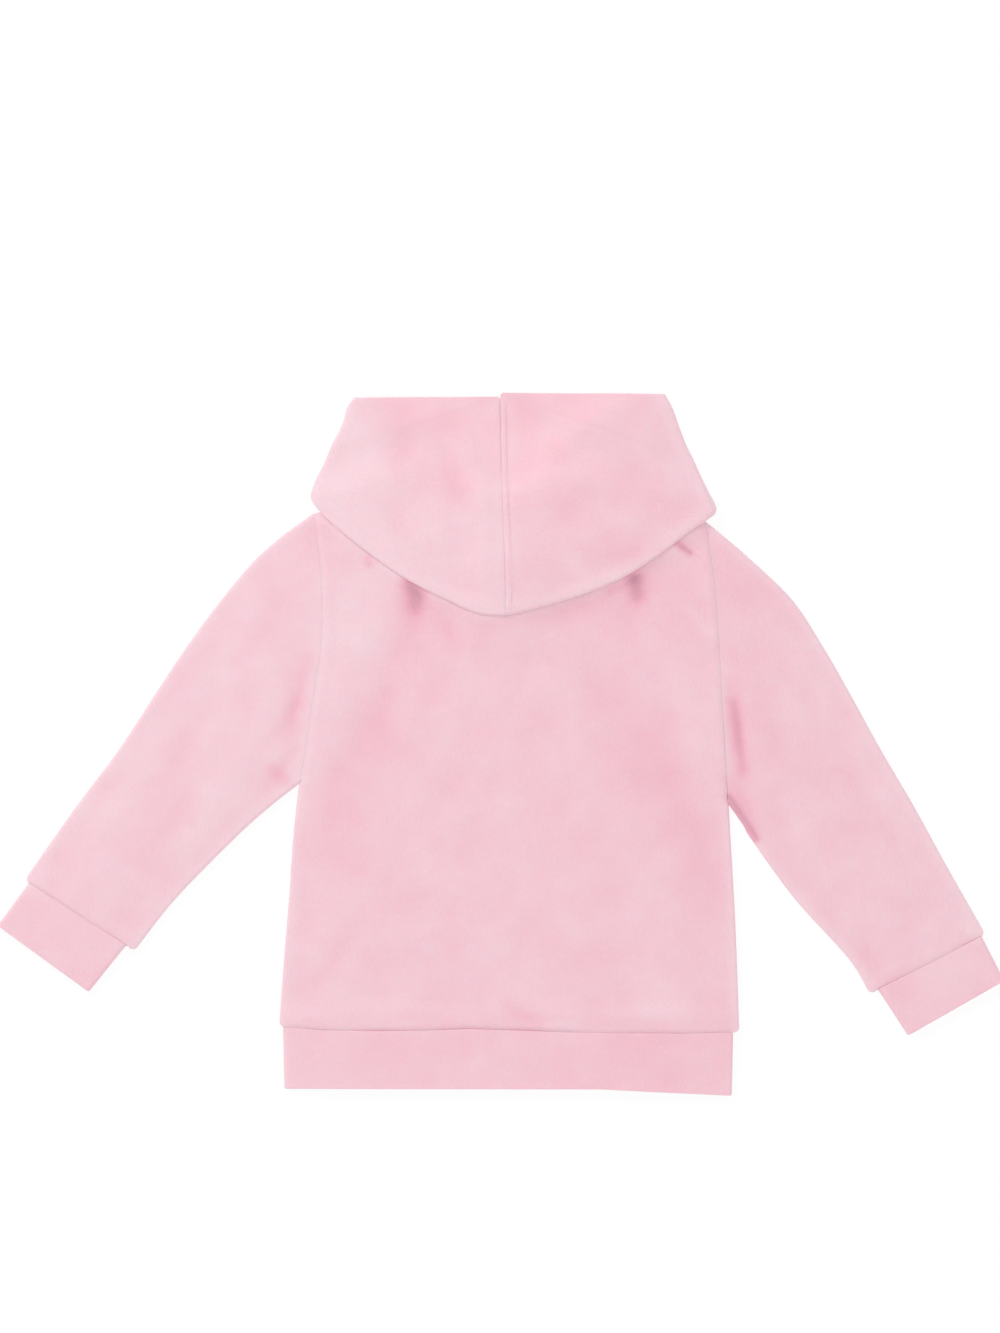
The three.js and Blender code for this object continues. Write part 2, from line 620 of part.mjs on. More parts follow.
const HOOD = {
  left: {
    crest: { x: -8.5, y: 506.7 },
    rows: [
      { neckX: -1, neckY: 427.2, foldX: -4.5, foldY: 347 },
      { neckX: -16, neckY: 427.6, foldX: -24, foldY: 348.6 },
      { neckX: -30, neckY: 429, foldX: -48, foldY: 358.8 },
      { neckX: -46, neckY: 433, foldX: -78, foldY: 374.5 },
      { neckX: -57, neckY: 438, foldX: -106, foldY: 394 },
      { neckX: -63, neckY: 443, foldX: -130, foldY: 413.5 },
      { neckX: -65.5, neckY: 446.5, foldX: -141, foldY: 425 },
      { neckX: -68, neckY: 452.5, foldX: -145.8, foldY: 433 },
      { neckX: -68, neckY: 455.8, foldX: -142.8, foldY: 444 },
      { neckX: -66.5, neckY: 458, turnX: -82, turnY: 466, foldX: -137.5, foldY: 455 },
      { neckX: -65, neckY: 449, turnX: -60, turnY: 490, foldX: -133.8, foldY: 463.5 },
      { across: 0.07, turnX: -46, turnY: 520, foldX: -130, foldY: 472 },
      { across: 0.25, turnX: -40, turnY: 522, foldX: -123, foldY: 486 },
      { across: 0.56, turnX: -36, turnY: 512, foldX: -119.6, foldY: 497.5 },
      { across: 1, turnX: -30, turnY: 500, foldX: -114.2, foldY: 505.7 },
    ],
  },
  right: {
    crest: { x: -8.5, y: 509.5 },
    rows: [
      { neckX: -1, neckY: 427.2, foldX: -4.5, foldY: 347 },
      { neckX: 14, neckY: 427.5, foldX: 20, foldY: 353 },
      { neckX: 30, neckY: 428.5, foldX: 50, foldY: 362 },
      { neckX: 45, neckY: 431.6, foldX: 78, foldY: 373.5 },
      { neckX: 56, neckY: 436, foldX: 105, foldY: 390 },
      { neckX: 62, neckY: 440, foldX: 128, foldY: 407.5 },
      { neckX: 64.5, neckY: 443.5, foldX: 141.6, foldY: 416.8 },
      { neckX: 67, neckY: 449.5, foldX: 148.4, foldY: 423 },
      { neckX: 67, neckY: 452.8, foldX: 142.4, foldY: 437 },
      { neckX: 65.5, neckY: 455, turnX: 81, turnY: 463, foldX: 135.7, foldY: 451 },
      { neckX: 64, neckY: 446, turnX: 59, turnY: 487, foldX: 131.8, foldY: 460 },
      { across: 0.07, turnX: 45, turnY: 518, foldX: 127.2, foldY: 469 },
      { across: 0.25, turnX: 39, turnY: 520, foldX: 121.4, foldY: 483.5 },
      { across: 0.56, turnX: 35, turnY: 511, foldX: 116.8, foldY: 496.5 },
      { across: 1, turnX: 29, turnY: 500, foldX: 110.6, foldY: 508.4 },
    ],
  },
};
const CREST_SPREAD = 1.6; // the rows end this close together
const HEM_FROM = 0.85; // past this share of the rows they turn from square to the outline to along the hem
const GROUND_ROWS = 3; // this many rows before the front neckline's already lie on the surface
const HOOD_R = (CLOTH + 1) / 2;
const SHOULDER_STEP = { start: 2.5, reach: 12 }; // the lower layer steps down past the shoulder seam
const UPPER_START = 6; // and the upper one slopes down later and more slowly,
const NECK_SLOPE = 26;
const OPEN_SLOPE = 15; // but sooner where the face opening leaves nothing under it
const OPENING_EASE = 26;
const OPEN_SINK = 0.75; // there its crown is lower by this share
const FACE_STAND = 5; // the crown starts this far outside the face edge,
const FACE_STEEPNESS = 1.6; // rises this much faster there,
const FACE_FADE = 20; // and the hood's folds die out over this distance from it
const HOOD_EASE = 0.3; // the hood bridges small hollows in the back

const HOOD_FOLDS = [
  { x1: -30, y1: 500, x2: -24, y2: 372, bend: 0, width: 11, height: 0.9 },
  { x1: -84, y1: 495, x2: -70, y2: 420, bend: 0, width: 16, height: -0.8 },
  { x1: -112, y1: 470, x2: -60, y2: 386, bend: 6, width: 14, height: 0.8 },
  { x1: 22, y1: 420, x2: 92, y2: 446, bend: 5, width: 22, height: -0.9 },
  { x1: 30, y1: 480, x2: 96, y2: 470, bend: 0, width: 18, height: 0.8 },
];

// How far a point lies past the body's top edge, along the edge's normal.
function pastShoulder(x, y) {
  const slope = (backTop(x + 1) - backTop(x - 1)) / 2;
  return (y - backTop(x)) / Math.hypot(1, slope);
}

// The height of cloth laid straight on the back, carried level past its edges.
function onBack(x, y) {
  const inside = Math.min(y, backTop(x) - 3);
  const crown = CROWN * smooth(edgeDistance(x, inside) / CROWN_REACH);
  return EQUATOR + FOLD_R + crown + backLift(x, inside) + CLOTH + SEAM + HOOD_EASE;
}

const onGround = (x, y) => CLOTH / 2 + lift(x, y);

function hoodUnder(x, y) {
  const step = smooth((pastShoulder(x, y) - SHOULDER_STEP.start) / SHOULDER_STEP.reach);
  return mix(onBack(x, y), CLOTH / 2, step);
}

// A table's rows, drawn smoothly through all its columns, with one more row between each two.
function doubled(rows) {
  const numbered = rows.map((row, index) => ({ ...row, index }));
  const columns = Object.keys(rows[0]);
  const curves = columns.map((column) => through(numbered, "index", column));
  return Array.from({ length: 2 * rows.length - 1 }, (_, k) => {
    const row = Object.fromEntries(columns.map((column, c) => [column, curves[c](k / 2)]));
    return { ...row, index: k / 2 };
  });
}

const cubic = (a, b, c, d, t) => ({
  x: mix(mix(mix(a.x, b.x, t), mix(b.x, c.x, t), t), mix(mix(b.x, c.x, t), mix(c.x, d.x, t), t), t),
  y: mix(mix(mix(a.y, b.y, t), mix(b.y, c.y, t), t), mix(mix(b.y, c.y, t), mix(c.y, d.y, t), t), t),
});

// The rows of one half in plan: neck, turning point, fold, face edge and the way in from the fold.
function hoodRows(name) {
  const side = SIDES[name];
  const { crest, rows } = HOOD[name];
  const zipEdge = ZIP_X + side.sign * ZIP_HALF_GAP;
  const first = rows.findIndex((row) => row.across !== undefined);
  const onNeckline = (across) => {
    const x = mix(side.neckPoint.x, zipEdge, across);
    return { x: x - side.sign * SEAM, y: frontTop(side, x) + SEAM + 0.1 };
  };
  const full = rows.map(({ across, ...row }) => {
    const neck = across === undefined ? { x: row.neckX, y: row.neckY } : onNeckline(across);
    const turn = mixPoint(neck, { x: row.foldX, y: row.foldY }, 0.35);
    return { turnX: turn.x, turnY: turn.y, ...row, neckX: neck.x, neckY: neck.y };
  });
  const dense = doubled(full);
  return dense.map((row, i) => {
    const before = dense[Math.max(i - 1, 0)];
    const after = dense[Math.min(i + 1, dense.length - 1)];
    const along = new THREE.Vector2(after.foldX - before.foldX, after.foldY - before.foldY).normalize();
    const share = i / (dense.length - 1);
    const stop = NECK_STOPS[i - 2 * first];
    const outline = new THREE.Vector2(-along.y, along.x).multiplyScalar(side.sign);
    const square = i === 0 ? new THREE.Vector2(0, 1) : outline;
    const hem = new THREE.Vector2(crest.x - row.foldX, crest.y - row.foldY).normalize();
    const inwards = square.lerp(hem, smooth((share - HEM_FROM) / (1 - HEM_FROM))).normalize();
    return {
      neck: stop === undefined ? { x: row.neckX, y: row.neckY } : onNeckline(stop),
      turn: { x: row.turnX, y: row.turnY },
      fold: { x: row.foldX, y: row.foldY },
      face: { x: crest.x + side.sign * share * CREST_SPREAD, y: crest.y - (1 - share) * CREST_SPREAD },
      inwards: { x: inwards.x, y: inwards.y },
      onFront: i >= 2 * first - GROUND_ROWS,
    };
  });
}

const HOOD_ROWS = { left: hoodRows("left"), right: hoodRows("right") };
const FOLD_REACH = 8; // the rows leave the fold square, for about this far
const UNDER_STEPS = 8;
const OVER_STEPS = 9;
const TURN = [-60, -30, 0, 30, 60]; // degrees round the fold, from the lower layer to the upper one

const underPath = (row, t) => {
  const out = { x: row.fold.x + row.inwards.x * FOLD_REACH, y: row.fold.y + row.inwards.y * FOLD_REACH };
  return cubic(row.fold, out, row.turn, row.neck, t);
};

// The face opening, as the lower face edges leave it: 1 well inside it, where the upper layer sinks to
// the surface, and 0 over the lower layer.
const FACE_OPENING = ["left", "right"].map((name) => {
  const last = HOOD_ROWS[name][HOOD_ROWS[name].length - 1];
  return Array.from({ length: 13 }, (_, k) => underPath(last, k / 12));
});
function openness(x, y) {
  const line = FACE_OPENING[x < ZIP_X ? 0 : 1];
  const k = line.findIndex((p) => p.y < y);
  if (k < 0) return 0;
  const share = k > 0 ? (y - line[k].y) / (line[k - 1].y - line[k].y) : 0;
  const edgeX = k > 0 ? mix(line[k].x, line[k - 1].x, share) : line[0].x;
  const inside = (x - edgeX) * (x < ZIP_X ? 1 : -1) > 0;
  return inside ? smooth(distanceToLine(line, x, y) / OPENING_EASE) : 0;
}

function hoodBase(x, y) {
  const past = pastShoulder(x, y) - UPPER_START;
  const open = openness(x, y);
  const slope = smooth(past / mix(NECK_SLOPE, OPEN_SLOPE, open));
  return mix(onBack(x, y), CLOTH / 2, slope) + 2 * HOOD_R * (1 - open * slope);
}

const OUTLINE = [...HOOD_ROWS.left].reverse().concat(HOOD_ROWS.right.slice(1)).map((row) => row.fold);
const FACE_LINE = {
  left: [HOOD_ROWS.left[HOOD_ROWS.left.length - 1].fold, HOOD.left.crest],
  right: [HOOD_ROWS.right[HOOD_ROWS.right.length - 1].fold, HOOD.right.crest],
};

// The upper layer's height: over its base it is crowned, less so towards the face edge.
function hoodOver(x, y) {
  const d = distanceToLine(OUTLINE, x, y);
  const faceLine = x < HOOD.left.crest.x ? FACE_LINE.left : FACE_LINE.right;
  const hem = distanceToLine(faceLine, x, y) + FACE_STAND;
  const sunk = 1 - OPEN_SINK * openness(x, y) * smooth(pastShoulder(x, y) / OPEN_SLOPE);
  const crown = HOOD_CROWN * smooth(Math.min(d, FACE_STEEPNESS * hem) / HOOD_REACH);
  const creased = foldHeight(HOOD_FOLDS, x, y, false) * smooth(d / FOLD_FADE) * smooth(hem / FACE_FADE);
  return hoodBase(x, y) + Math.max(0, crown + creased) * sunk;
}

function hoodHalf(name) {
  const side = SIDES[name];
  const rows = HOOD_ROWS[name];
  const clear = (p) => ({ x: p.x + (side.sign * SEAM) / 2, y: p.y });
  const grid = [];
  const normals = [];
  for (const row of rows) {
    const fold = clear(row.fold);
    const { inwards } = row;
    const under = row.onFront ? onGround : hoodUnder;
    const low = under(fold.x, fold.y);
    const r = (hoodBase(fold.x, fold.y) - low) / 2;
    const inFrom = (e) => ({ x: fold.x + inwards.x * e, y: fold.y + inwards.y * e });
    const slopes = (height, p, up) => {
      const step = 0.5;
      const slopeX = (height(p.x + step, p.y) - height(p.x - step, p.y)) / (2 * step);
      const slopeY = (height(p.x, p.y + step) - height(p.x, p.y - step)) / (2 * step);
      return new THREE.Vector3(-slopeX, -slopeY, 1).multiplyScalar(up).normalize();
    };
    const points = [];
    const outward = [];
    for (let k = 0; k < UNDER_STEPS; k++) {
      const p = k === UNDER_STEPS - 1 ? inFrom(r) : clear(underPath(row, 1 - k / (UNDER_STEPS - 0.7)));
      points.push(point(p, under(p.x, p.y)));
      outward.push(slopes(under, p, -1));
    }
    for (const angle of TURN) {
      const cos = Math.cos(radians(angle));
      const sin = Math.sin(radians(angle));
      points.push(point(inFrom(r * (1 - cos)), low + r + r * sin));
      outward.push(new THREE.Vector3(-inwards.x * cos, -inwards.y * cos, sin));
    }
    const face = clear(row.face);
    for (let k = 0; k < OVER_STEPS; k++) {
      const t = (k + 0.35) / (OVER_STEPS - 0.65);
      const p = k === 0 ? inFrom(r) : cubic(fold, inFrom(FOLD_REACH), mixPoint(face, fold, 0.35), face, t);
      points.push(point(p, hoodOver(p.x, p.y)));
      outward.push(slopes(hoodOver, p, 1));
    }
    if (row === rows[0]) for (const normal of outward) normal.setX(0).normalize();
    grid.push(points);
    normals.push(outward);
  }
  return wall(grid, { normals });
}

// ---- The zip ----------------------------------------------------------------------------------------

const { Manifold, Mesh } = await manifoldKit();

async function manifoldKit() {
  const kit = await ManifoldModule();
  kit.setup();
  return kit;
}

// Several solids joined into one.
function joined(geometries) {
  const bodies = geometries.map((geometry) => {
    const bare = new THREE.BufferGeometry().setAttribute("position", plain(geometry));
    const merged = mergeVertices(bare, 1e-4);
    return new Manifold(
      new Mesh({
        numProp: 3,
        vertProperties: new Float32Array(merged.attributes.position.array),
        triVerts: new Uint32Array(merged.index.array),
      }),
    );
  });
  const mesh = Manifold.union(bodies).getMesh();
  const geometry = new THREE.BufferGeometry();
  geometry.setAttribute("position", new THREE.BufferAttribute(new Float32Array(mesh.vertProperties), 3));
  geometry.setIndex(Array.from(mesh.triVerts));
  return geometry.toNonIndexed();
}
const plain = (geometry) => (geometry.index ? geometry.toNonIndexed() : geometry).getAttribute("position");

// A plan outline, as a list of {x, y}, made solid between two heights.
function plate(points, bottom, top) {
  const shape = new THREE.Shape(points.map((p) => new THREE.Vector2(p.x, p.y)));
  const options = { depth: top - bottom, bevelEnabled: false };
  return new THREE.ExtrudeGeometry(shape, options).translate(0, 0, bottom);
}

// The rounded outline of a plate that is `wide` at the neck end and narrower at the other.
function sliderOutline(wide) {
  const half = wide / 2;
  const rows = [
    { along: -0.5, out: 0.5 },
    { along: -0.44, out: 0.72 },
    { along: -0.05, out: 0.8 },
    { along: 0.25, out: 1 },
    { along: 0.42, out: 0.94 },
    { along: 0.5, out: 0.66 },
  ];
  const edge = rows.map((row) => ({ x: row.out * half, y: SLIDER_Y + row.along * SLIDER_LENGTH }));
  const mirrored = edge.map((p) => ({ x: -p.x, y: p.y })).reverse();
  return [...edge, ...mirrored].map((p) => ({ x: p.x + ZIP_X, y: p.y }));
}

const oblong = (halfX, y1, y2) => [
  { x: ZIP_X - halfX, y: y1 },
  { x: ZIP_X + halfX, y: y1 },
  { x: ZIP_X + halfX, y: y2 },
  { x: ZIP_X - halfX, y: y2 },
];

function slider() {
  const half = BRIDGE.length / 2;
  const legs = [-1, 1].map((end) =>
    plate(
      oblong(BRIDGE.width / 2, SLIDER_Y + end * half, SLIDER_Y + end * (half - BRIDGE.leg)),
      BRIDGE.bottom,
      FACE_PLATE.bottom + OVERLAP,
    ),
  );
  const bar = plate(oblong(BRIDGE.width / 2, SLIDER_Y - half, SLIDER_Y + half), BRIDGE.bottom, BRIDGE.top);
  const post = plate(
    oblong(POST.half, SLIDER_Y + POST.start, SLIDER_Y + POST.end),
    FACE_PLATE.top - OVERLAP,
    INNER_PLATE.bottom + OVERLAP,
  );
  return joined([
    plate(sliderOutline(FACE_PLATE.width), FACE_PLATE.bottom, FACE_PLATE.top),
    plate(sliderOutline(INNER_PLATE.width), INNER_PLATE.bottom, INNER_PLATE.top),
    ...legs,
    bar,
    post,
  ]);
}

// The pull tab: a fork round the bridge, its bar behind it, and a rounded tab with a slot.
function pull() {
  const end = SLIDER_Y - PULL.length;
  const half = PULL.width / 2;
  const tab = new THREE.Shape();
  tab.moveTo(-half * PULL_NECK.share, SLIDER_Y);
  tab.lineTo(-half, SLIDER_Y - PULL_NECK.length);
  tab.lineTo(-half, end + half);
  tab.absarc(0, end + half, half, Math.PI, 2 * Math.PI, false);
  tab.lineTo(half, SLIDER_Y - PULL_NECK.length);
  tab.lineTo(half * PULL_NECK.share, SLIDER_Y);
  tab.lineTo(FORK.half, SLIDER_Y);
  tab.lineTo(FORK.half, SLIDER_Y - FORK.length);
  tab.lineTo(-FORK.half, SLIDER_Y - FORK.length);
  tab.lineTo(-FORK.half, SLIDER_Y);
  const slot = new THREE.Path();
  slot.absarc(0, end + half, half * SLOT_SHARE, 0, 2 * Math.PI, true);
  tab.holes.push(slot);
  const low = PULL.axis - PULL.thickness / 2;
  const options = { depth: PULL.thickness, bevelEnabled: false, curveSegments: 8 };
  const flat = new THREE.ExtrudeGeometry(tab, options);
  const bar = new THREE.CylinderGeometry(PULL.bar, PULL.bar, half * BAR_SHARE, 12).rotateZ(Math.PI / 2);
  const whole = joined([flat.translate(0, 0, low), bar.translate(0, SLIDER_Y, PULL.axis)]);
  return whole
    .translate(ZIP_X, -SLIDER_Y, -PULL.axis)
    .rotateX(radians(PULL.tilt))
    .translate(0, SLIDER_Y, PULL.axis);
}

// One side's tape: inside the front edge, from the foot of the hem band to the neckline.
function tape(side) {
  const foot = 3;
  const top = ZIP_TOP + 1;
  const parting = [SLIDER_Y + 1, SLIDER_Y + 6];
  const low = Array.from({ length: 24 }, (_, i) => mix(foot, SLIDER_Y - 3, i / 23));
  const onBand = BAND_EQUATOR - BAND_R + BAND / 2 + SEAM + TAPE / 2;
  const rows = [...low, ...parting, top].map((y) => {
    const parted = 1.0 * smooth((y - SLIDER_Y + 3) / 4);
    return [0, 0.3, 0.65, 1].map((t) => {
      const x = ZIP_X + side.sign * (SEAM / 2 + parted + t * (TAPE_WIDTH - parted));
      const onFront = CLOTH + SEAM + TAPE / 2 + lift(x, y);
      return point({ x, y }, mix(onBand, onFront, smooth((y - HEM_Y - 1) / 12)));
    });
  });
  return wall(rows, { thickness: TAPE });
}

// ---- Assembly ---------------------------------------------------------------------------------------

const fleece = new THREE.MeshStandardMaterial({ color: "#f3c6d2", roughness: 0.95, metalness: 0 });

const tapeCloth = new THREE.MeshStandardMaterial({ color: "#efc0cd", roughness: 0.8, metalness: 0 });
const metal = new THREE.MeshStandardMaterial({ color: "#c6c6cb", roughness: 0.3, metalness: 1 });

const jacket = new THREE.Group();
function add(name, geometry, material = fleece) {
  const mesh = new THREE.Mesh(geometry, material);
  mesh.name = name;
  jacket.add(mesh);
  return mesh;
}

add("back", backPanel());
add("hem_band", hemBand());
for (const [name, side] of Object.entries(SIDES)) {
  add(`front_${name}`, frontPanel(side));
  add(`sleeve_${name}`, sleeve(side));
  add(`cuff_${name}`, cuff(side));
  add(`hood_${name}`, hoodHalf(name));
  add(`zip_tape_${name}`, tape(side), tapeCloth);
}
add("zip_slider", slider(), metal);
add("zip_pull", pull(), metal);

// The origin is the middle of the footprint, on the surface the jacket lies on.
const extent = new THREE.Box3().setFromObject(jacket);
const middle = extent.getCenter(new THREE.Vector3());
for (const mesh of jacket.children) mesh.position.set(-middle.x, -middle.y, -extent.min.z);

export default jacket;
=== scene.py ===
# A small child's zip-up hooded jacket in brushed fleece, laid out flat on its front, back uppermost.
#
# Blender works in metres. Every size in the tables below is in millimetres on the jacket's own axes:
# +X to the right and +Y from the hem to the hood, seen from above, and +Z up from the surface it lies
# on. "Left" and "right" are as seen from above. Each piece of cloth is a thin shell about one middle
# surface, on the form of its solid, with its creases, seams and rolled edges laid in.

import bpy
import math
import numpy as np
from types import SimpleNamespace
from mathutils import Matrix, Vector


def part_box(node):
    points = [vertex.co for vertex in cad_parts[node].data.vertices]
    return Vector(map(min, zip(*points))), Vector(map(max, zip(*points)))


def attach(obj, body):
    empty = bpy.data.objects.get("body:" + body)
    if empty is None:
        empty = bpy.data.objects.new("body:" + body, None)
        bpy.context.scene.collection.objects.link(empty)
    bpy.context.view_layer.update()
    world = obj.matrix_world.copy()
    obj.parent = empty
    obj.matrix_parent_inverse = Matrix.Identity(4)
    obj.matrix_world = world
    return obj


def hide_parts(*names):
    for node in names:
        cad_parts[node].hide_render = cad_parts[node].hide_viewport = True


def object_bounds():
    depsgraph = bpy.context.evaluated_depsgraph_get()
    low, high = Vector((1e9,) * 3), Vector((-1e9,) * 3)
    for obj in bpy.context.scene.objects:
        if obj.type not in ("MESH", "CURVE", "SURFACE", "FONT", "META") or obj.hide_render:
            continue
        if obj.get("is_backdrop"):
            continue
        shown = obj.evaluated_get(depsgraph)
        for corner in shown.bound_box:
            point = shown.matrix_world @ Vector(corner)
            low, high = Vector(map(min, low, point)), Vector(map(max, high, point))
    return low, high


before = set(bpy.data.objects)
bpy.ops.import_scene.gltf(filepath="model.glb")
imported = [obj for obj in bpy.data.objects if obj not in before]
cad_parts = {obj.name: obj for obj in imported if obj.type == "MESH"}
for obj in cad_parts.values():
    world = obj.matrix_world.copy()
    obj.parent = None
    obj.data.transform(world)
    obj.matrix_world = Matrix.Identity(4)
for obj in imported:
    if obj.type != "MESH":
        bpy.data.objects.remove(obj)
cad_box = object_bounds()
MM = 0.001
scene = bpy.context.scene

# ---- Sizes ----

CLOTH = 2.0  # brushed fleece
BAND = 2.4  # hem band and cuffs, the same cloth pressed double
SEAM = 0.3  # clear gap between two pieces at a seam
FOLD_R = 1.5  # middle radius of the fold where the two layers of a tube join
EQUATOR = CLOTH / 2 + FOLD_R  # the height of such a fold's middle
BAND_R = (BAND + 1) / 2
BAND_EQUATOR = BAND / 2 + BAND_R
HOOD_R = (CLOTH + 1) / 2
CROWN, CROWN_REACH = 1.8, 46  # the upper layer stands off the lower one, well inside the outline
HOOD_CROWN, HOOD_REACH = 2.0, 40
DEEPEST = 0.7  # no fold sinks further than this below the two layers' own height
# How far in from a folded edge each kind of relief reaches its full height.
FOLD_EASE, CREASE_EASE, BLOUSE_EASE, ALLOWANCE_EASE = 14, 10, 8, 5

ZIP_X = -1  # the centre front
ZIP_HALF_GAP = 5
ZIP_FOOT, ZIP_TOP = 3, 382
TAPE, TAPE_WIDTH = 1.0, 13
ACROSS_TAPE = [0, 0.02, 0.06, 0.15, 0.3, 0.5, 0.7, 0.85, 0.94, 0.98, 1]
COIL_IN, COIL_SHIFT, COIL_DROP = 1.3, 0.32, 0.42  # from the tape's edge, along it and below it
SLIDER_Y, SLIDER_REACH = 371, 6
SLIDER_LIFT, BACK_LIFT = 2.7, 3.0  # how far the slider holds up the fronts, and the back
LIFT_START, LIFT_REACH = 9, 34
PULL_LENGTH = 23

HEM_Y, HEM_DIP, HEM_SWAY = 44, 3, 1.2  # the hem seam dips at the left and sways a little all along
HEM_FADE = 54  # the height over which that fades out of the body's rows
CLOSER_FROM = 1.58  # of the body's rows, where they become closer
BAND_HEIGHT = 44
# the lower edge of the hem band: nearly level as far as its bend, then falling away to the right
BAND_FOOT = {"left": 0.6, "bend": 0.3, "right": -4.8}
FOOT_BEND = 0.7  # as a share of the width
BAND_INSET = {-1: 3, 1: 4.7}  # by the side's sign
BAND_TAPER = 1
BACK_NECK_X, BACK_NECK_Y = [-45, -1, 45], [433.5, 428, 432.5]  # the back neckline, between the neck points
HEM_CORNER, CUFF_CORNER = 3.0, 4.5  # radii
CORNER_SHARE = 0.8  # of its radius that a corner's edge draws in
SLEEVE_LENGTH, SLEEVE_WIDTH, CUFF_WIDTH = 330, 200, 82
BACK_WIDTH, FRONT_WIDTH, BAND_WIDTH, BAND_FRONT_WIDTH = 300, 145, 320, 155
CUFF_STAND, BAND_STAND = 0.9, 1.5  # how far the tubes of the bands stand open
TUCK, TUCK_PITCH, TUCK_DRIFT = 0.35, 9.5, 31  # small tucks along the hem seam
# What each piece of cloth is cut to, of what shows.
CUTS = {
    "back": (338, 402), "front": (168, 402), "sleeve": (410, 350), "cuff": (176, 44),
    "hood": (300, 330), "band": (650, 44), "tape": (TAPE_WIDTH, 380.5),
}

# Low ridges and grooves along a line, each with its height, its distance from the line and its width.
HEM_BLOUSE = [(1.3, 9, 7)]
HEM_ROLLED = [(1.0, 3.6, 2.6), (-1.0, 0, 1.3)]
CUFF_BLOUSE = [(0.8, 6, 4.5), (-0.8, 0, 1.6)]
ARMHOLE_ALLOWANCE = [(0.45, 4.5, 3.4), (-0.35, -3, 4), (-0.2, 0, 1.6)]
STITCH_OFFSET, STITCHED = 4.4, (352, 500)  # the topstitching's distance from the hood's seam, and its ends
HOOD_ALLOWANCE = [(0.5, 2.4, 2.2), (-0.5, 0, 0.9), (-0.3, STITCH_OFFSET, 0.9)]
HOOD_RIM = [(0.45, 5, 3.5)]

# The outline of each side, as points: the body's edge from the hem seam past the underarm to the shoulder
# point, the sleeve's upper and lower edges from there to the cuff seam, and the cuff's two ends. The hood's
# rows run from the neck seam out to the folded outline, some by way of a turning point. A row that starts
# on the front neckline has a share of the way across it in place of its neck point.
LEFT = SimpleNamespace(
    name="left", sign=-1, underarm=225, neck=(-67, 445), crest=(-8.5, 506.7),
    edge=[
        (-169.2, 46), (-165.7, 95), (-162, 140), (-159.3, 180), (-154.5, 225), (-150, 250), (-145, 285),
        (-139.5, 322), (-138.4, 358), (-140.6, 392), (-144.4, 420),
    ],
    over=[
        (-145.1, 419.9), (-171, 400.8), (-194, 378.8), (-228.3, 335.3), (-257.5, 292.2), (-286.1, 248.4),
        (-319, 204.5), (-355.2, 153),
    ],
    under=[
        (-155.2, 225.1), (-179.5, 205.8), (-203.6, 184), (-246.5, 140.2), (-276.4, 102.4),
    ],
    cuff_seam=[(-352, 150.4), (-283, 106)],
    cuff_end=[(-374.9, 119.1), (-310.3, 72.1)],
    hood=[
        ((-1, 427.2), (-4.5, 347)), ((-16, 427.6), (-24, 348.6)), ((-30, 429), (-48, 358.8)),
        ((-46, 433), (-78, 374.5)), ((-57, 438), (-106, 394)), ((-63, 443), (-130, 413.5)),
        ((-65.5, 446.5), (-141, 425)), ((-67.4, 452.5), (-145.8, 433)), ((-67.4, 455.8), (-142.8, 444)),
        ((-67, 458), (-82, 466), (-137.5, 455)), ((-66.5, 449), (-60, 490), (-133.8, 463.5)),
        (0.07, (-46, 520), (-130, 472)), (0.25, (-40, 522), (-123, 486)), (0.56, (-36, 512), (-119.6, 497.5)),
        (1, (-30, 500), (-114.2, 505.7)),
    ],
)
RIGHT = SimpleNamespace(
    name="right", sign=1, underarm=210, neck=(66, 442), crest=(-8.5, 509.5),
    edge=[
        (165.3, 42), (163.7, 90), (162, 130), (159.4, 175), (157.4, 210), (155.3, 246), (153.2, 278),
        (151.6, 313), (148.8, 358), (145, 390), (140.7, 414.4),
    ],
    over=[
        (141.4, 414.2), (169.3, 390.7), (203.6, 357.8), (225.4, 325), (244.4, 292.2), (268.5, 248.4),
        (294.1, 204.6), (318.1, 160.8), (345.2, 113.3),
    ],
    under=[
        (158.3, 210.2), (170, 193.4), (175.6, 183.8), (207.3, 140.2), (246.7, 96.4), (262.2, 71),
    ],
    cuff_seam=[(342.4, 111.3), (268.6, 73.6)],
    cuff_end=[(358.9, 79), (290.5, 40)],
    hood=[
        ((-1, 427.2), (-4.5, 347)), ((14, 427.5), (20, 353)), ((30, 428.5), (50, 362)),
        ((45, 431.6), (78, 373.5)), ((56, 436), (105, 390)), ((62, 440), (128, 407.5)),
        ((64.5, 443.5), (141.6, 416.8)), ((66.4, 449.5), (148.3, 423.8)), ((66.4, 452.8), (142.4, 437)),
        ((66, 455), (81, 463), (135.7, 451)), ((65.5, 446), (59, 487), (131.8, 460)),
        (0.07, (45, 518), (127.2, 469)), (0.25, (39, 520), (121.4, 483.5)), (0.56, (35, 511), (116.8, 496.5)),
        (1, (29, 500), (110.6, 508.4)),
    ],
)
SIDES = (LEFT, RIGHT)
CREST_SPREAD = 1.6
HEM_FROM = 0.85  # past this share of the rows they turn from square to the outline to along the hem
GROUND_FROM = 1.5  # rows of the table before the front neckline's from which the cloth lies on the surface
STEP_START, STEP_REACH = 2.5, 12  # the lower layer steps down past the shoulder seam
UPPER_START, NECK_SLOPE, OPEN_SLOPE = 6, 26, 15
OPENING_EASE = 26
HOOD_EASE = 0.3  # air under the hood where it lies on the back
FOLD_REACH = 8
TURN_SHARE = 0.35  # how far along its way a row turns that has no turning point of its own
RIM_RISE, RIM_SPREAD = 2.8, 8.5  # the back rises to meet the hood's folded rim
UNDER_FROM = 0.997  # of the way from the fold to the neck seam, where the under layer starts
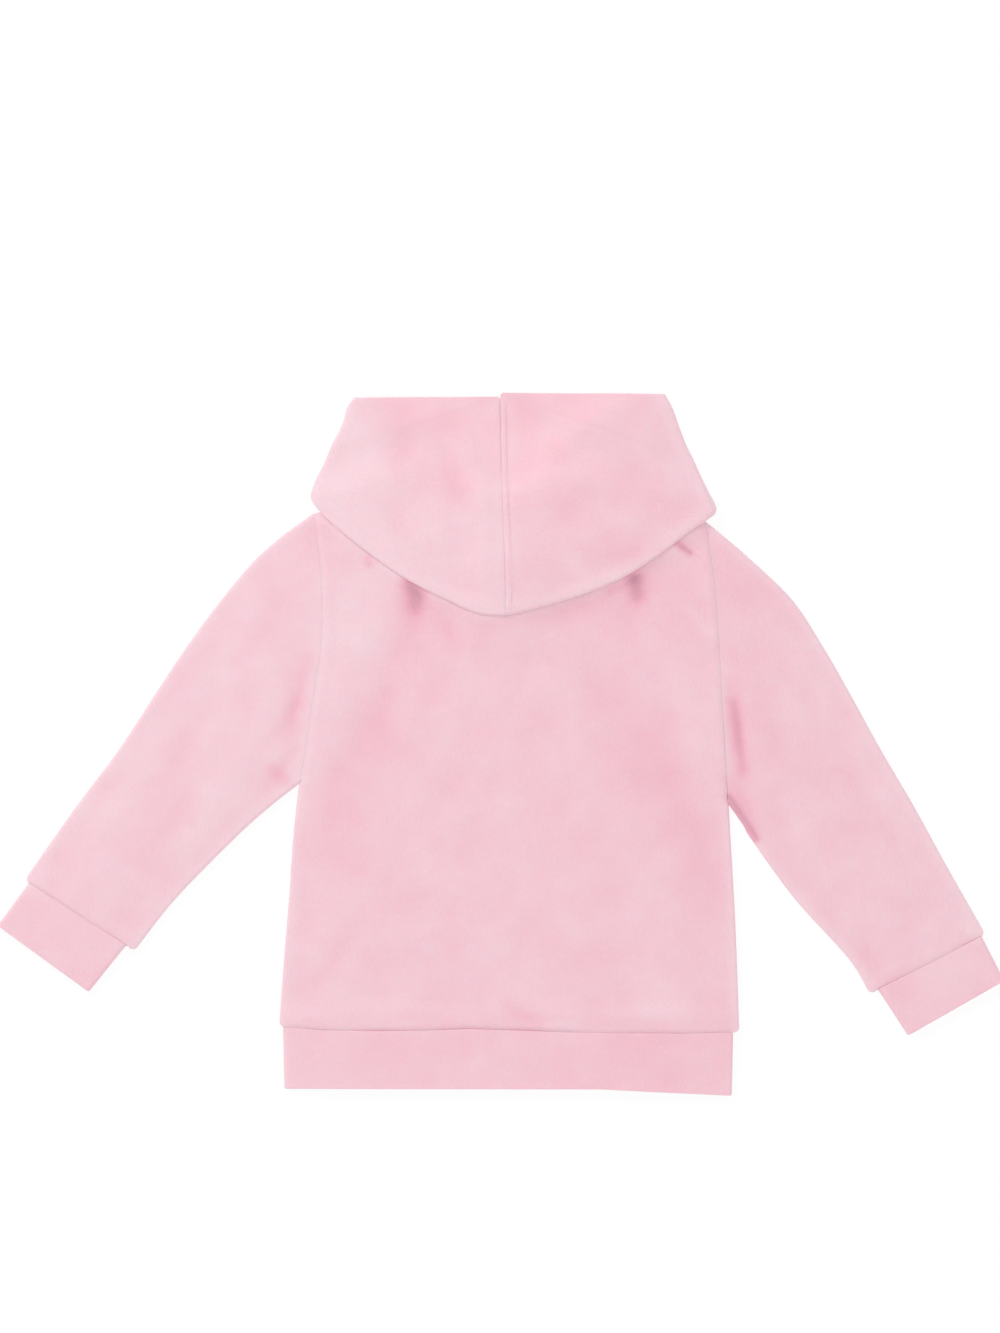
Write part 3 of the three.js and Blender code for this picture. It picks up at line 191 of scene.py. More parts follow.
UNDER_GRADE, OVER_GRADE = 0.85, 1.15  # its points and the upper layer's are closest at the fold

# The front neckline from a neck point to the zip, as shares of the way across and down.
NECK_ACROSS, NECK_DOWN = [0, 0.07, 0.25, 0.56, 1], [0, 0.36, 0.68, 0.92, 1]
NECK_STOPS = [0.07, 0.16, 0.25, 0.405, 0.56, 0.78, 1]
# How far the cloth rolls over the hem band, from the left to the right: most left of the middle.
ROLL_X = [-168, -120, -100, -50, 0, 36, 60, 110, 164]
ROLL_SHARE = [0.4, 0.5, 0.8, 0.85, 1.0, 1.0, 0.35, 0.7, 0.5]
# The hood's centre seam, up the hood.
SEAM_Y, SEAM_AT = [340, 375, 440, 473, 510], [-5, -4.6, -7.4, -8.2, -8.6]

# Soft folds in the upper layer. Each runs along a line, from x1, y1 to x2, y2, and has a width and a
# height, and a bow if it isn't straight: a positive height is a ridge and a negative one a trough.
BODY_FOLDS = [
    # the back, from the hood towards each side
    (-62, 352, -128, 168, 17, -1.5, -10), (-98, 345, -147, 232, 13, 1.1, -4),
    (62, 300, 146, 150, 18, -1.5, 9), (110, 320, 148, 212, 12, 1.0, 4), (8, 66, 44, 46, 12, 1.2),
    # under the hood's edge
    (-75, 372, -70, 340, 8, -1.7), (92, 382, 88, 345, 8, -1.6),
    # beside the armholes
    (-162, 300, -156, 250, 7, -1.6), (160, 296, 168, 232, 6, -1.9), (174, 300, 186, 224, 9, 1.0, 2),
    # the sleeves
    (-190, 340, -262, 190, 12, -1.1, -8), (-172, 290, -232, 178, 12, 0.9), (206, 300, 262, 190, 13, -0.9, 6),
    (-300, 168, -322, 142, 9, 0.8), (300, 130, 318, 100, 9, 0.8),
]
# Smaller ones, which the solids leave out.
BODY_CREASES = [
    (-138, 366, -96, 334, 6, 0.7, 3), (-58, 350, -40, 322, 6, -0.6, 2), (-82, 330, -92, 250, 7, -0.5, -5),
    (-30, 335, -64, 226, 9, 0.4, 6), (116, 404, 132, 392, 4, -0.9, 1), (78, 356, 104, 300, 8, -0.5, -4),
    (120, 360, 146, 332, 5, 0.5, 2), (30, 330, 58, 236, 10, 0.4, -6), (-112, 128, -150, 74, 8, -0.5, 4),
    (-120, 62, -30, 56, 5, 0.5, 2), (70, 58, 128, 60, 5, 0.45, -2), (6, 56, 20, 51, 4, -0.8),
    (104, 120, 150, 92, 8, -0.45, 3), (-152, 300, -170, 262, 5, -0.8, 3), (-160, 246, -176, 222, 5, -1.0),
    (158, 226, 178, 192, 5, -1.2, 2), (166, 288, 172, 236, 3, -0.7, -1), (-176, 372, -226, 300, 9, 0.5, 4),
    (-214, 250, -276, 166, 8, -0.5, 4), (-262, 236, -316, 168, 8, 0.45, -4), (180, 362, 222, 300, 9, 0.5, -4),
    (196, 232, 244, 132, 9, 0.5, -4), (252, 220, 300, 130, 8, -0.5, 5), (296, 100, 304, 88, 3.5, -0.7),
    (326, 122, 331, 108, 3.5, -0.7), (-338, 152, -332, 140, 4, -0.5),
]
# The hidden sides have folds of the same kind: these stand off the surface the jacket lies on.
UNDER_CREASES = [
    (-40, 330, -120, 180, 12, 0.6, 8), (44, 316, 126, 170, 13, 0.6, -8), (-120, 120, -40, 66, 10, 0.5, 5),
    (40, 120, 124, 76, 10, 0.5, -5), (-160, 330, -176, 240, 9, 0.7, 3), (166, 320, 176, 226, 9, 0.7, -3),
    (-206, 330, -272, 190, 11, 0.6, -5), (210, 300, 270, 170, 11, 0.6, 5), (-250, 210, -306, 140, 8, 0.5, 4),
    (250, 190, 300, 110, 8, 0.5, -4),
]
HOOD_FOLDS = [
    (-30, 500, -24, 372, 11, 0.9), (-84, 495, -70, 420, 16, -0.8), (-112, 470, -60, 386, 14, 0.8, 6),
    (22, 420, 92, 446, 22, -0.9, 5), (30, 480, 96, 470, 18, 0.8),
]
HOOD_CREASES = [
    (-18, 470, -17, 362, 7, 0.8, -2), (-46, 452, -36, 438, 9, -0.6), (-100, 440, -66, 376, 7, -0.45, 3),
    (-122, 450, -118, 410, 9, 0.5), (12, 500, 6, 488, 7, -0.6), (26, 400, 60, 372, 8, 0.5, -2),
    (60, 430, 120, 420, 9, -0.5, 3), (98, 480, 122, 440, 9, 0.5, -2),
]
# Painted shade where a strip's height is negative and painted light where it is positive, as broad soft
# strips over the hood.
HOOD_PAINTED_LIGHT_AND_SHADE = [
    (-120, 470, -128, 420, 22, 0.55), (-122, 456, -124, 446, 10, 0.2), (-110, 496, -92, 492, 12, 0.15),
    (-18, 440, -18, 366, 10, 0.05), (-84, 492, -44, 486, 16, -0.4), (-44, 452, -40, 440, 14, -0.5),
    (-2, 470, 3, 380, 6, 0.15), (4, 500, 10, 490, 10, -0.3), (30, 426, 110, 420, 24, 0.05),
    (64, 486, 98, 468, 16, -0.2), (-118, 500, -134, 446, 9, 0.4), (-11, 446, -10, 372, 5, 0.4),
    (-30, 398, -30, 372, 10, -0.2), (60, 384, 88, 392, 8, -0.3), (-104, 410, -86, 394, 10, 0.2),
    (-124, 424, -84, 388, 13, 0.2), (34, 400, 94, 396, 15, -0.22), (-85, 446, -80, 422, 8, -0.2),
]
# Painted shade and painted light over the back, the hem band and the sleeves, as broad soft strips of the
# same kind.
BODY_PAINTED_LIGHT_AND_SHADE = [
    # the back
    (-92, 320, -100, 280, 12, 0.15), (-60, 342, -20, 334, 14, -0.2), (-40, 320, -80, 250, 22, -0.25),
    (-80, 150, -60, 80, 34, -0.12), (-138, 180, -150, 90, 26, -0.08), (-104, 372, -146, 300, 14, 0.3, -6),
    (-136, 414, -146, 404, 12, -0.25), (-146, 300, -158, 210, 6, 0.3, -2), (60, 350, 30, 340, 16, -0.2),
    (62, 310, 84, 270, 16, 0.22), (100, 230, 150, 160, 22, -0.1, 4), (96, 372, 150, 330, 20, -0.12, 4),
    (150, 330, 156, 236, 6, 0.2), (108, 120, 116, 70, 24, 0.18), (-100, 60, 30, 54, 12, -0.15),
    (-2, 60, 22, 51, 7, -0.28, -3), (-130, 264, -134, 200, 10, -0.28), (-118, 170, -90, 110, 30, -0.12),
    (-100, 240, 50, 240, 50, -0.1), (-146, 392, -130, 386, 9, -0.25),
    # the hem band
    (-125, 28, -70, 18, 16, -0.3), (50, 26, 110, 14, 14, -0.25), (-100, 34, -20, 30, 9, -0.2),
    (70, 34, 145, 38, 8, -0.15),
    # the sleeves, from the armholes down
    (-151, 314, -153, 284, 7, -0.6), (161, 282, 168, 234, 5, -0.9), (174, 300, 190, 224, 11, -0.4, 3),
    (-172, 352, -200, 318, 14, -0.15), (-238, 298, -246, 284, 12, -0.25),
    (-216, 302, -232, 270, 12, 0.25, -4), (-214, 236, -222, 220, 12, 0.2), (-199, 248, -202, 240, 9, -0.3),
    (-256, 262, -276, 236, 12, 0.3), (-300, 190, -318, 160, 14, -0.3), (206, 292, 322, 110, 26, 0.32, 8),
    (330, 96, 310, 60, 26, 0.3), (306, 128, 316, 112, 12, -0.3), (270, 122, 244, 150, 14, 0.2),
    (176, 276, 180, 246, 7, -0.3), (152, 384, 190, 346, 20, -0.2), (-190, 378, -178, 362, 10, -0.3),
    (-202, 328, -212, 300, 10, 0.2), (-196, 320, -300, 190, 28, 0.12),
    # painted shadows where sharp folds run in under the hood, and painted shade at the underarms
    (-76, 371, -65, 363, 5.5, -1.0), (-72.5, 369, -70, 354, 8.5, -1.3), (-80, 350, -78, 330, 10, -0.2),
    (-52, 360, -28, 349, 4, -0.35), (71, 365, 88, 374, 4.5, -1.0), (90, 373, 92.5, 361, 7.5, -1.35),
    (30, 345, 64, 356, 7, -0.3), (-104, 388, -104, 385, 4, -1.0), (120, 399, 130, 392, 2.6, -1.6),
    (-176, 234, -160, 222, 5, -0.75), (158.5, 213.5, 178.5, 183.5, 3.4, -2.3),
]
# No cloth lies truly even: long low waves, each with its heading, length, height and phase.
WAVES = [
    (0.35, 61, 0.16, 0.4), (1.25, 47, 0.14, 2.1), (2.2, 38, 0.12, 4.0), (2.9, 27, 0.08, 1.2),
    (0.8, 21, 0.06, 5.3), (1.8, 15, 0.04, 3.3),
]
PALEST = 0.34  # how far past the middle tone the painted light may go
LEFTWARD_PAINTED_LIGHT = 0.14  # painted light: paler towards the left, the side the key lamp lights from
EDGE_PAINTED_LIGHT = 0.3  # and painted light along a fold
# How much of the large folds, the creases and the waves shows as painted shade in their troughs and painted
# light on their ridges.
BODY_SHARES, HOOD_SHARES, UNDER_SHARES = (0.35, 0.5, 0.35), (0.3, 0.4, 0.35), (0.3, 0.2)

# ---- Plain mathematics ----

clip = lambda v, low=0.0, high=1.0: np.minimum(high, np.maximum(low, v))
mix = lambda a, b, t: a + (b - a) * t
bell = lambda v, width: np.exp(-((v / width) ** 2))
roll = lambda d, r=FOLD_R: r * np.sqrt(1 - (1 - clip(d / r)) ** 2)
unit = lambda v: v / np.hypot(*v)


def smooth(t):
    c = clip(t)
    return c * c * (3 - 2 * c)


def through(at, to):
    """A smooth function through a table: the values `to` as a function of the rising values `at`."""
    at, to = np.asarray(at, float), np.asarray(to, float)
    before, after = np.r_[0, np.arange(len(at) - 1)], np.r_[np.arange(1, len(at)), len(at) - 1]
    slope = (to[after] - to[before]) / (at[after] - at[before])

    def value(v):
        v = np.asarray(v, float)
        k = np.clip(np.searchsorted(at, v, side="right") - 1, 0, len(at) - 2)
        span = at[k + 1] - at[k]
        t = clip((v - at[k]) / span)
        start = slope[k] * span * (t**3 - 2 * t * t + t)
        end = slope[k + 1] * span * (t**3 - t * t)
        return mix(to[k], to[k + 1], t * t * (3 - 2 * t)) + start + end

    return value


def curve_through(points, fine=600):
    """A smooth plan curve through a table's points, as a function of the share of its length."""
    p = np.array(points, float)
    t = np.linspace(0, len(p) - 1, fine + 1)
    k = np.minimum(t.astype(int), len(p) - 2)
    w = (t - k)[:, None]
    a, b, c, d = p[np.maximum(k - 1, 0)], p[k], p[k + 1], p[np.minimum(k + 2, len(p) - 1)]
    v0, v1 = (c - a) / 2, (d - b) / 2
    line = (2 * b - 2 * c + v0 + v1) * w**3 + (3 * c - 3 * b - 2 * v0 - v1) * w**2 + v0 * w + b
    length = np.r_[0, np.cumsum(np.hypot(*np.diff(line, axis=0).T))]
    length /= length[-1]
    return lambda s: np.stack([np.interp(s, length, line[:, k]) for k in (0, 1)], axis=-1)


def distance_to_line(line, x, y):
    best = np.full(np.broadcast(x, y).shape, np.inf)
    for (ax, ay), (bx, by) in zip(line[:-1], line[1:]):
        dx, dy = bx - ax, by - ay
        t = clip(((x - ax) * dx + (y - ay) * dy) / max(dx * dx + dy * dy, 1e-9))
        best = np.minimum(best, np.hypot(x - ax - dx * t, y - ay - dy * t))
    return best


def cubic(a, b, c, d, t):
    t = t[..., None]
    return a * (1 - t) ** 3 + 3 * b * t * (1 - t) ** 2 + 3 * c * t * t * (1 - t) + d * t**3


def graded(length, step, start=True, end=True):
    """Shares of a length in even steps, closer at an end that is a seam or a fold."""
    stops = np.array([0, 0.25, 0.6, 1.1, 1.7, 2.5, 3.6, 5.0])
    head, tail = (stops if close else stops[:1] for close in (start, end))
    a, b = head[-1], length - tail[-1]
    even = np.linspace(a, b, max(2, int(round((b - a) / step)) + 1))[1:-1]
    return np.r_[head, even, length - tail[::-1]] / length


def ridges(table, d):
    """Ridges and grooves side by side, at the distance d from their line."""
    return sum(height * bell(d - place, width) for height, place, width in table)


def folds(table, x, y, waned=True):
    total = np.zeros(np.broadcast(x, y).shape)
    for x1, y1, x2, y2, width, height, *bow in table:
        dx, dy = x2 - x1, y2 - y1
        length = math.hypot(dx, dy)
        t = ((x - x1) * dx + (y - y1) * dy) / length**2
        across = ((x - x1) * dy - (y - y1) * dx) / length + sum(bow) * 4 * t * (1 - t)
        ends = bell(np.maximum(0, np.maximum(-t, t - 1)) * length, width)
        if waned:
            ends = ends * (0.55 + 0.45 * smooth(2 * t) * smooth(2 - 2 * t))
        total = total + height * bell(across, width) * ends
    return total


def weighed(shares, *parts):
    return sum(share * part for share, part in zip(shares, parts))


def uneven(x, y):
    total = 0.0
    for heading, length, height, phase in WAVES:
        along = x * math.cos(heading) + y * math.sin(heading)
        across = y * math.cos(heading) - x * math.sin(heading)
        bowed = along + 0.22 * length * np.sin(across / length * 2.3 + phase)
        total = total + height * np.sin(2 * math.pi * bowed / length + phase)
    return total


def hood_uneven(x, y):
    return uneven(x + 37, y - 21)


# ---- Heights and tones over the body ----

for side in SIDES:
    side.zip_edge = ZIP_X + side.sign * ZIP_HALF_GAP
    edge = np.array(side.edge, float)
    side.edge_x = through(edge[:, 1], edge[:, 0])
    side.hem, side.shoulder, side.neck = edge[0], edge[-1], np.array(side.neck, float)
    side.over_curve, side.under_curve = curve_through(side.over), curve_through(side.under)
    fine = np.linspace(0, 1, 50)
    seam, side.armhole = (
        np.c_[side.edge_x(ys), ys]
        for ys in (np.linspace(side.hem[1], side.underarm, 12),
                   np.linspace(side.underarm, side.shoulder[1], 26))
    )
    side.joined = [
        np.vstack([side.neck, side.shoulder, side.over_curve(fine)]),
        np.vstack([seam[0] - [0, 60], seam, side.under_curve(fine)]),
    ]


def edge_distance(x, y):
    """Distance to the nearest line where the upper and lower layers join."""
    by_side = [np.minimum(*[distance_to_line(line, x, y) for line in side.joined]) for side in SIDES]
    return np.where(x < 0, *by_side)


def armhole_distance(x, y):
    """Distance from the armhole seam: positive on the body and negative on the sleeve."""
    found = []
    for side in SIDES:
        d = distance_to_line(side.armhole, x, y)
        found.append(np.where(side.sign * (x - side.edge_x(y)) < 0, d, -d))
    return np.where(x < 0, *found)


def lift(x, y):
    """How far the cloth is held off the surface over the slider and its pull."""
    reach = np.hypot(x - ZIP_X, y - clip(y, SLIDER_Y - PULL_LENGTH, SLIDER_Y + SLIDER_REACH))
    return SLIDER_LIFT * (1 - smooth((reach - LIFT_START) / LIFT_REACH))


def under_height(x, y):
    d = edge_distance(x, y)
    raised = folds(UNDER_CREASES, x, y) * smooth((d - 3) / FOLD_EASE)
    return EQUATOR - roll(d) + lift(x, y) + np.maximum(raised, 0)


def top_height(x, y):
    d = edge_distance(x, y)
    blouse = ridges(HEM_BLOUSE, y - HEM_Y) * smooth(d / BLOUSE_EASE)
    stand = CROWN * smooth(d / CROWN_REACH) + folds(BODY_FOLDS, x, y) * smooth(d / FOLD_EASE) + blouse
    small = (folds(BODY_CREASES, x, y) + uneven(x, y)) * smooth(d / CREASE_EASE)
    base = EQUATOR + roll(d) + np.maximum(stand + small, -DEEPEST) + BACK_LIFT / SLIDER_LIFT * lift(x, y)
    # the seam allowances lie towards the body and make a low ridge along the armhole
    return base + ridges(ARMHOLE_ALLOWANCE, armhole_distance(x, y)) * smooth(d / ALLOWANCE_EASE)


def gently(tone):
    """The painted light and shade with its palest part held back."""
    past = tone - 0.5
    return 0.5 + np.where(past > 0, PALEST * np.tanh(past / PALEST), past)


def body_painted_light_and_shade(mid):
    """Painted light and shade over a grid: 0 dark, 1 pale."""
    x, y = mid[..., 0], mid[..., 1]
    # painted shade in the troughs of the folds, creases and waves, and painted light on their ridges
    fold_shade = weighed(BODY_SHARES, folds(BODY_FOLDS, x, y), folds(BODY_CREASES, x, y), uneven(x, y))
    above = 0.5 + 0.5 * (fold_shade + folds(BODY_PAINTED_LIGHT_AND_SHADE, x, y, waned=False)) + LEFTWARD_PAINTED_LIGHT * smooth(-x / 180 + 0.4)
    # painted light along the hood's rim, over the shade in the crevice beneath it, and along the folded edges
    rim_painted_light = EDGE_PAINTED_LIGHT * bell(hood_outline_distance(x, y) - 1, 2.5)
    above = gently(above + EDGE_PAINTED_LIGHT * bell(edge_distance(x, y), 5) + rim_painted_light)
    # on the hidden lower layer, painted light on its raised creases and waves
    below = weighed((1, *UNDER_SHARES), 0.5, folds(UNDER_CREASES, x, y), uneven(x + 80, y - 40))
    return np.where(mid[..., 2] > EQUATOR, above, below)


def hood_painted_light_and_shade(mid):
    x, y = mid[..., 0], mid[..., 1]
    # painted shade in the hood's troughs and painted light on its ridges, towards the left and along its
    # outline
    fold_shade = weighed(HOOD_SHARES, folds(HOOD_FOLDS, x, y), folds(HOOD_CREASES, x, y), hood_uneven(x, y))
    above = 0.54 + 0.5 * (fold_shade + folds(HOOD_PAINTED_LIGHT_AND_SHADE, x, y, waned=False))
    above = above + LEFTWARD_PAINTED_LIGHT * smooth(-x / 130 + 0.4)
    return gently(above + EDGE_PAINTED_LIGHT * bell(distance_to_line(OUTLINE, x, y), 7))


# ---- Shells of cloth ----

slider_middle = np.mean(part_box("zip_slider"), axis=0) / MM
PLACE = np.array([slider_middle[0] - ZIP_X, slider_middle[1] - SLIDER_Y, 0])


def steps_along(grid, axis, closed=False):
    """Running lengths along one axis of a grid of points, one longer than the grid if it is closed."""
    if closed:
        grid = np.concatenate([grid, grid[:, :1]], axis=1)
    run = np.cumsum(np.linalg.norm(np.diff(grid, axis=axis), axis=2), axis=axis)
    return np.concatenate([np.zeros_like(run[:1] if axis == 0 else run[:, :1]), run], axis=axis)


def normals_of(mid, closed):
    along = np.gradient(mid, axis=0)
    across = np.roll(mid, -1, axis=1) - np.roll(mid, 1, axis=1) if closed else np.gradient(mid, axis=1)
    n = np.cross(across, along)
    return n / np.maximum(np.linalg.norm(n, axis=2, keepdims=True), 1e-12)


def drawn_out(mid, first, last, axis):
    """The grid with its end rows or columns moved outwards, so that two pieces meet at their seam."""
    mid = np.swapaxes(mid.copy(), 0, axis)
    for end, inner, far in ((0, 3, first), (-1, -4, last)):
        way = mid[end] - mid[inner]
        way[:, 2] = 0
        mid[end] += far * way / np.maximum(np.linalg.norm(way, axis=1, keepdims=True), 1e-9)
    return np.swapaxes(mid, 0, axis)


def linked(name, data):
    made = bpy.data.objects.new(name, data)
    scene.collection.objects.link(made)
    return made


def shell(name, mid, thickness=CLOTH, closed=False, edge_round=0.45, edge_share=0.75, meet=(0, 0, 0, 0),
          nap=None):
    """A shell of cloth about a grid of middle points, rounded at its open edges. `meet` is how far the
    first and last row and the first and last column are drawn out to meet their neighbours."""
    rows, cols = mid.shape[:2]
    mid = drawn_out(mid, meet[0], meet[1], 0)
    if not closed:
        mid = drawn_out(mid, meet[2], meet[3], 1)
    v, u = steps_along(mid, 0), steps_along(mid, 1, closed)
    edge = np.minimum(v, v[-1:] - v)
    if closed:
        v = np.concatenate([v, v[:, :1]], axis=1)
    else:
        edge = np.minimum(edge, np.minimum(u, u[:, -1:] - u))
    full = roll(edge / edge_round, 1)
    half = normals_of(mid, closed) * (thickness / 2 * mix(edge_share, 1.0, full)[..., None])
    skins = np.concatenate([mid + half, mid - half]).reshape(-1, 3)
    faces, uvs = [], []

    def quads(*corners):
        """Adds faces, whose corners are given by skin, row and column."""
        faces.append(np.stack([(skin * rows + i) * cols + j % cols for skin, i, j in corners], 1))
        uvs.append(np.stack([np.stack([u[i, j], v[i, j]], -1) for _, i, j in corners], 1))

    i, j = np.meshgrid(np.arange(rows - 1), np.arange(cols - 1 + closed), indexing="ij")
    i, j = i.ravel(), j.ravel()
    quads((0, i, j), (0, i, j + 1), (0, i + 1, j + 1), (0, i + 1, j))
    quads((1, i, j), (1, i + 1, j), (1, i + 1, j + 1), (1, i, j + 1))
    j = np.arange(cols - 1 + closed)
    for end, near, far in ((0, 1, 0), (rows - 1, 0, 1)):
        quads((near, end, j), (near, end, j + 1), (far, end, j + 1), (far, end, j))
    i = np.arange(0 if closed else rows - 1)
    for end, near, far in ((0, 0, 1), (cols - 1, 1, 0)):
        quads((near, i, end), (near, i + 1, end), (far, i + 1, end), (far, i, end))
    faces, uvs = np.concatenate(faces), np.concatenate(uvs)
    a, b, c, d = np.moveaxis(skins[faces], 1, 0)
    if np.sum(a * (np.cross(b, c) + np.cross(c, d))) < 0:
        faces, uvs = faces[:, ::-1], uvs[:, ::-1]
    mesh = bpy.data.meshes.new(name)
    mesh.from_pydata(((skins + PLACE) * MM).tolist(), [], faces.tolist())
    layer = mesh.uv_layers.new(name="cloth")
    layer.data.foreach_set("uv", (uvs.reshape(-1, 2) * MM).astype(np.float32).ravel())
    # painted light and shade for each point, 0.5 where none is painted, kept as an attribute for the material
    nap = np.full((rows, cols), 0.5) if nap is None else np.clip(nap, -1, 1)
    tone = mesh.attributes.new("nap", "FLOAT", "POINT")
    tone.data.foreach_set("value", np.tile(nap.ravel(), 2).astype(np.float32))
    mesh.shade_smooth()
    mesh.set_sharp_from_angle(angle=math.radians(50))
    mesh.validate()
    return linked(name, mesh)


def area_of(mid, closed):
    """The area of the cloth along its middle, in square metres."""
    if closed:
        mid = np.concatenate([mid, mid[:, :1]], axis=1)
    a, b, c, d = mid[:-1, :-1], mid[:-1, 1:], mid[1:, 1:], mid[1:, :-1]
    half = lambda p, q, r: np.linalg.norm(np.cross(q - p, r - p), axis=2).sum() / 2
    return (half(a, b, c) + half(a, c, d)) * MM * MM


def sew_in(piece, node, mid, flat, slot="fleece", closed=False):
    """Finishes a piece of cloth: gives it its material, hides the part it stands for and hangs it on the
    jacket.
    """
    piece.data.materials.append(CLOTHS[slot])
    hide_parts(node)
    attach(piece, "jacket")
    width, length = flat[0] * MM, flat[1] * MM
    min(area_of(mid, closed), width * length)


# ---- The body ----

back_neck = through([LEFT.neck[0], *BACK_NECK_X, RIGHT.neck[0]], [LEFT.neck[1], *BACK_NECK_Y, RIGHT.neck[1]])
front_neck_down = through(NECK_ACROSS, NECK_DOWN)
hem_roll = through(ROLL_X, ROLL_SHARE)


def shoulder_y(side, x):
    return mix(side.shoulder[1], side.neck[1], (x - side.shoulder[0]) / (side.neck[0] - side.shoulder[0]))


def back_top(x):
    inner = np.where(x > RIGHT.neck[0], shoulder_y(RIGHT, x), back_neck(x))
    return np.where(x < LEFT.neck[0], shoulder_y(LEFT, x), inner)


def front_top(side, x):
    across = (x - side.neck[0]) / (side.zip_edge - side.neck[0])
    neck = mix(side.neck[1], ZIP_TOP + 3, front_neck_down(clip(across)))
    return np.where(side.sign * (x - side.neck[0]) > 0, shoulder_y(side, x), neck)


def hem_share(x):
    return (x - LEFT.hem[0]) / (RIGHT.hem[0] - LEFT.hem[0])


def hem_wave(share):
    return -HEM_DIP * np.sin(math.pi * clip(share * 2.4)) + HEM_SWAY * np.sin(2 * math.pi * share)


def hem_line(x):
    """The hem seam's height up the jacket."""
    return mix(LEFT.hem[1], RIGHT.hem[1], hem_share(x)) + hem_wave(hem_share(x))


def body_rows(step):
    """Rows up the body: 0 at the hem seam, 1 at the underarm, 2 at the shoulder. They are closer from the
    foot of the hood's rim upwards."""
    low = graded(LEFT.underarm - LEFT.hem[1], step, end=False)
    high = 1 + graded(LEFT.shoulder[1] - LEFT.underarm, step, start=False)
    between = (high[1:] + high[:-1]) / 2
    return np.r_[low[:-1], np.sort(np.r_[high, between[between > CLOSER_FROM]])]


def drawn_in(along, radius):
    """How far an edge draws in as it nears its end, so that the corner there is rounded."""
    return CORNER_SHARE * (radius * (1 - roll(along / radius, 1)))


def edge_points(side, rows):
    low = mix(side.hem[1], side.underarm, clip(rows))
    y = low + (side.shoulder[1] - side.underarm) * clip(rows - 1)
    return np.stack([side.edge_x(y) - side.sign * drawn_in(y - side.hem[1], HEM_CORNER), y], axis=1)


def body_grid(a, b, rows, columns, top, height):
    """A panel between its edges a and b, its last row carried up to the line `top`."""
    x = mix(a[:, :1], b[:, :1], columns)
    top_x = mix(a[-1, 0], b[-1, 0], columns)
    rise = (top(top_x) - mix(a[-1, 1], b[-1, 1], columns))[None] * clip(rows - 1)[:, None] ** 1.6
    wave = hem_wave(hem_share(x)) * clip(1 - (a[:, 1:] - a[0, 1]) / HEM_FADE) ** 2
    y = mix(a[:, 1:], b[:, 1:], columns) + rise + wave
    return np.stack([x, y, height(x, y)], axis=2)


def hood_outline_distance(x, y):
    """Distance outside the hood's folded rim, and less than none under it."""
    d = distance_to_line(OUTLINE, x, y)
    return np.where(y < np.interp(x, RIM[:, 0], RIM[:, 1]), d, -d)


def back_height(x, y):
    """The back: its hem rolls over the band, and it rises to meet the round of the hood's folded rim, and
    eases away again beside it."""
    rolled = hem_roll(x) * ridges(HEM_ROLLED, y - hem_line(x)) * smooth(edge_distance(x, y) / BLOUSE_EASE)
    out = hood_outline_distance(x, y)
    rim_r = HOOD_R + CLOTH / 2
    under_rim = rim_r * (1 - np.sqrt(1 - clip((rim_r + np.minimum(out, 0)) / rim_r) ** 2))
    beside = RIM_RISE * bell(np.maximum(out, 0), RIM_SPREAD)
    rise = np.where(out < 0, np.minimum(under_rim, RIM_RISE), beside)
    return np.maximum(top_height(x, y) + rolled, EQUATOR + SEAM / 2) + rise * smooth(edge_distance(x, y) / 9)


def front_height(x, y):
    return np.minimum(under_height(x, y), EQUATOR - SEAM / 2 + lift(x, y))


# ---- Sleeves, cuffs and hem band: flattened tubes ----


def ring(place, across, top, under):
    """One flattened ring: over the top between its two folds, and back underneath."""
    back = across[1:-1][::-1]
    halves = ((place(across), across, top), (place(back), back, under))
    return np.vstack([np.c_[p, height(p[:, 0], p[:, 1], t)] for p, t, height in halves])


def sleeve_place(side, s, t):
    over, under = side.over_curve(s), side.under_curve(s)
    y = mix(side.shoulder[1], side.underarm, t)
    chord = mix(side.shoulder[0], side.edge_x(side.underarm), t)
    bow = (side.edge_x(y) - chord) * clip(1 - s / 0.4) ** 2
    inset = drawn_in((1 - s) * SLEEVE_LENGTH, CUFF_CORNER) / np.hypot(*(under - over))
    return over + (under - over) * mix(inset, 1 - inset, t)[:, None] + np.c_[bow, 0 * bow]


def sleeve_grid(side, step):
    cuff_line = np.array(side.cuff_seam)

    def top(x, y, t):
        """The sleeve blouses a little over its cuff and hangs over the seam there."""
        blouse = ridges(CUFF_BLOUSE, distance_to_line(cuff_line, x, y))
        return top_height(x, y) + blouse * smooth(edge_distance(x, y) / 7)

    t = graded(SLEEVE_WIDTH, step * 1.15)
    return np.array([ring(lambda q: sleeve_place(side, s, q), t, top, lambda x, y, q: under_height(x, y))
                     for s in graded(SLEEVE_LENGTH, step)])


def cuff_grid(side, step):
    seam, end = np.array(side.cuff_seam), np.array(side.cuff_end)
    across = graded(CUFF_WIDTH, step)
    rows = []
    for s in graded(np.hypot(*(seam[0] - end[0])), step):
        a, b = mix(seam, end, s)
        width = np.hypot(*(a - b))
        depth = lambda t: roll(np.minimum(t, 1 - t) * width, BAND_R)
        stand = lambda t: CUFF_STAND * np.sin(math.pi * t) * (1 - 0.5 * s)
        ease = lambda x, y, t: 0.5 * uneven(x, y) * smooth(np.minimum(t, 1 - t) * width / 10)
        rows.append(ring(lambda t: a + (b - a) * t[:, None], across,
                         lambda x, y, t: BAND_EQUATOR + depth(t) + np.maximum(stand(t) + ease(x, y, t), 0),
                         lambda x, y, t: BAND_EQUATOR - depth(t)))
    return np.array(rows)


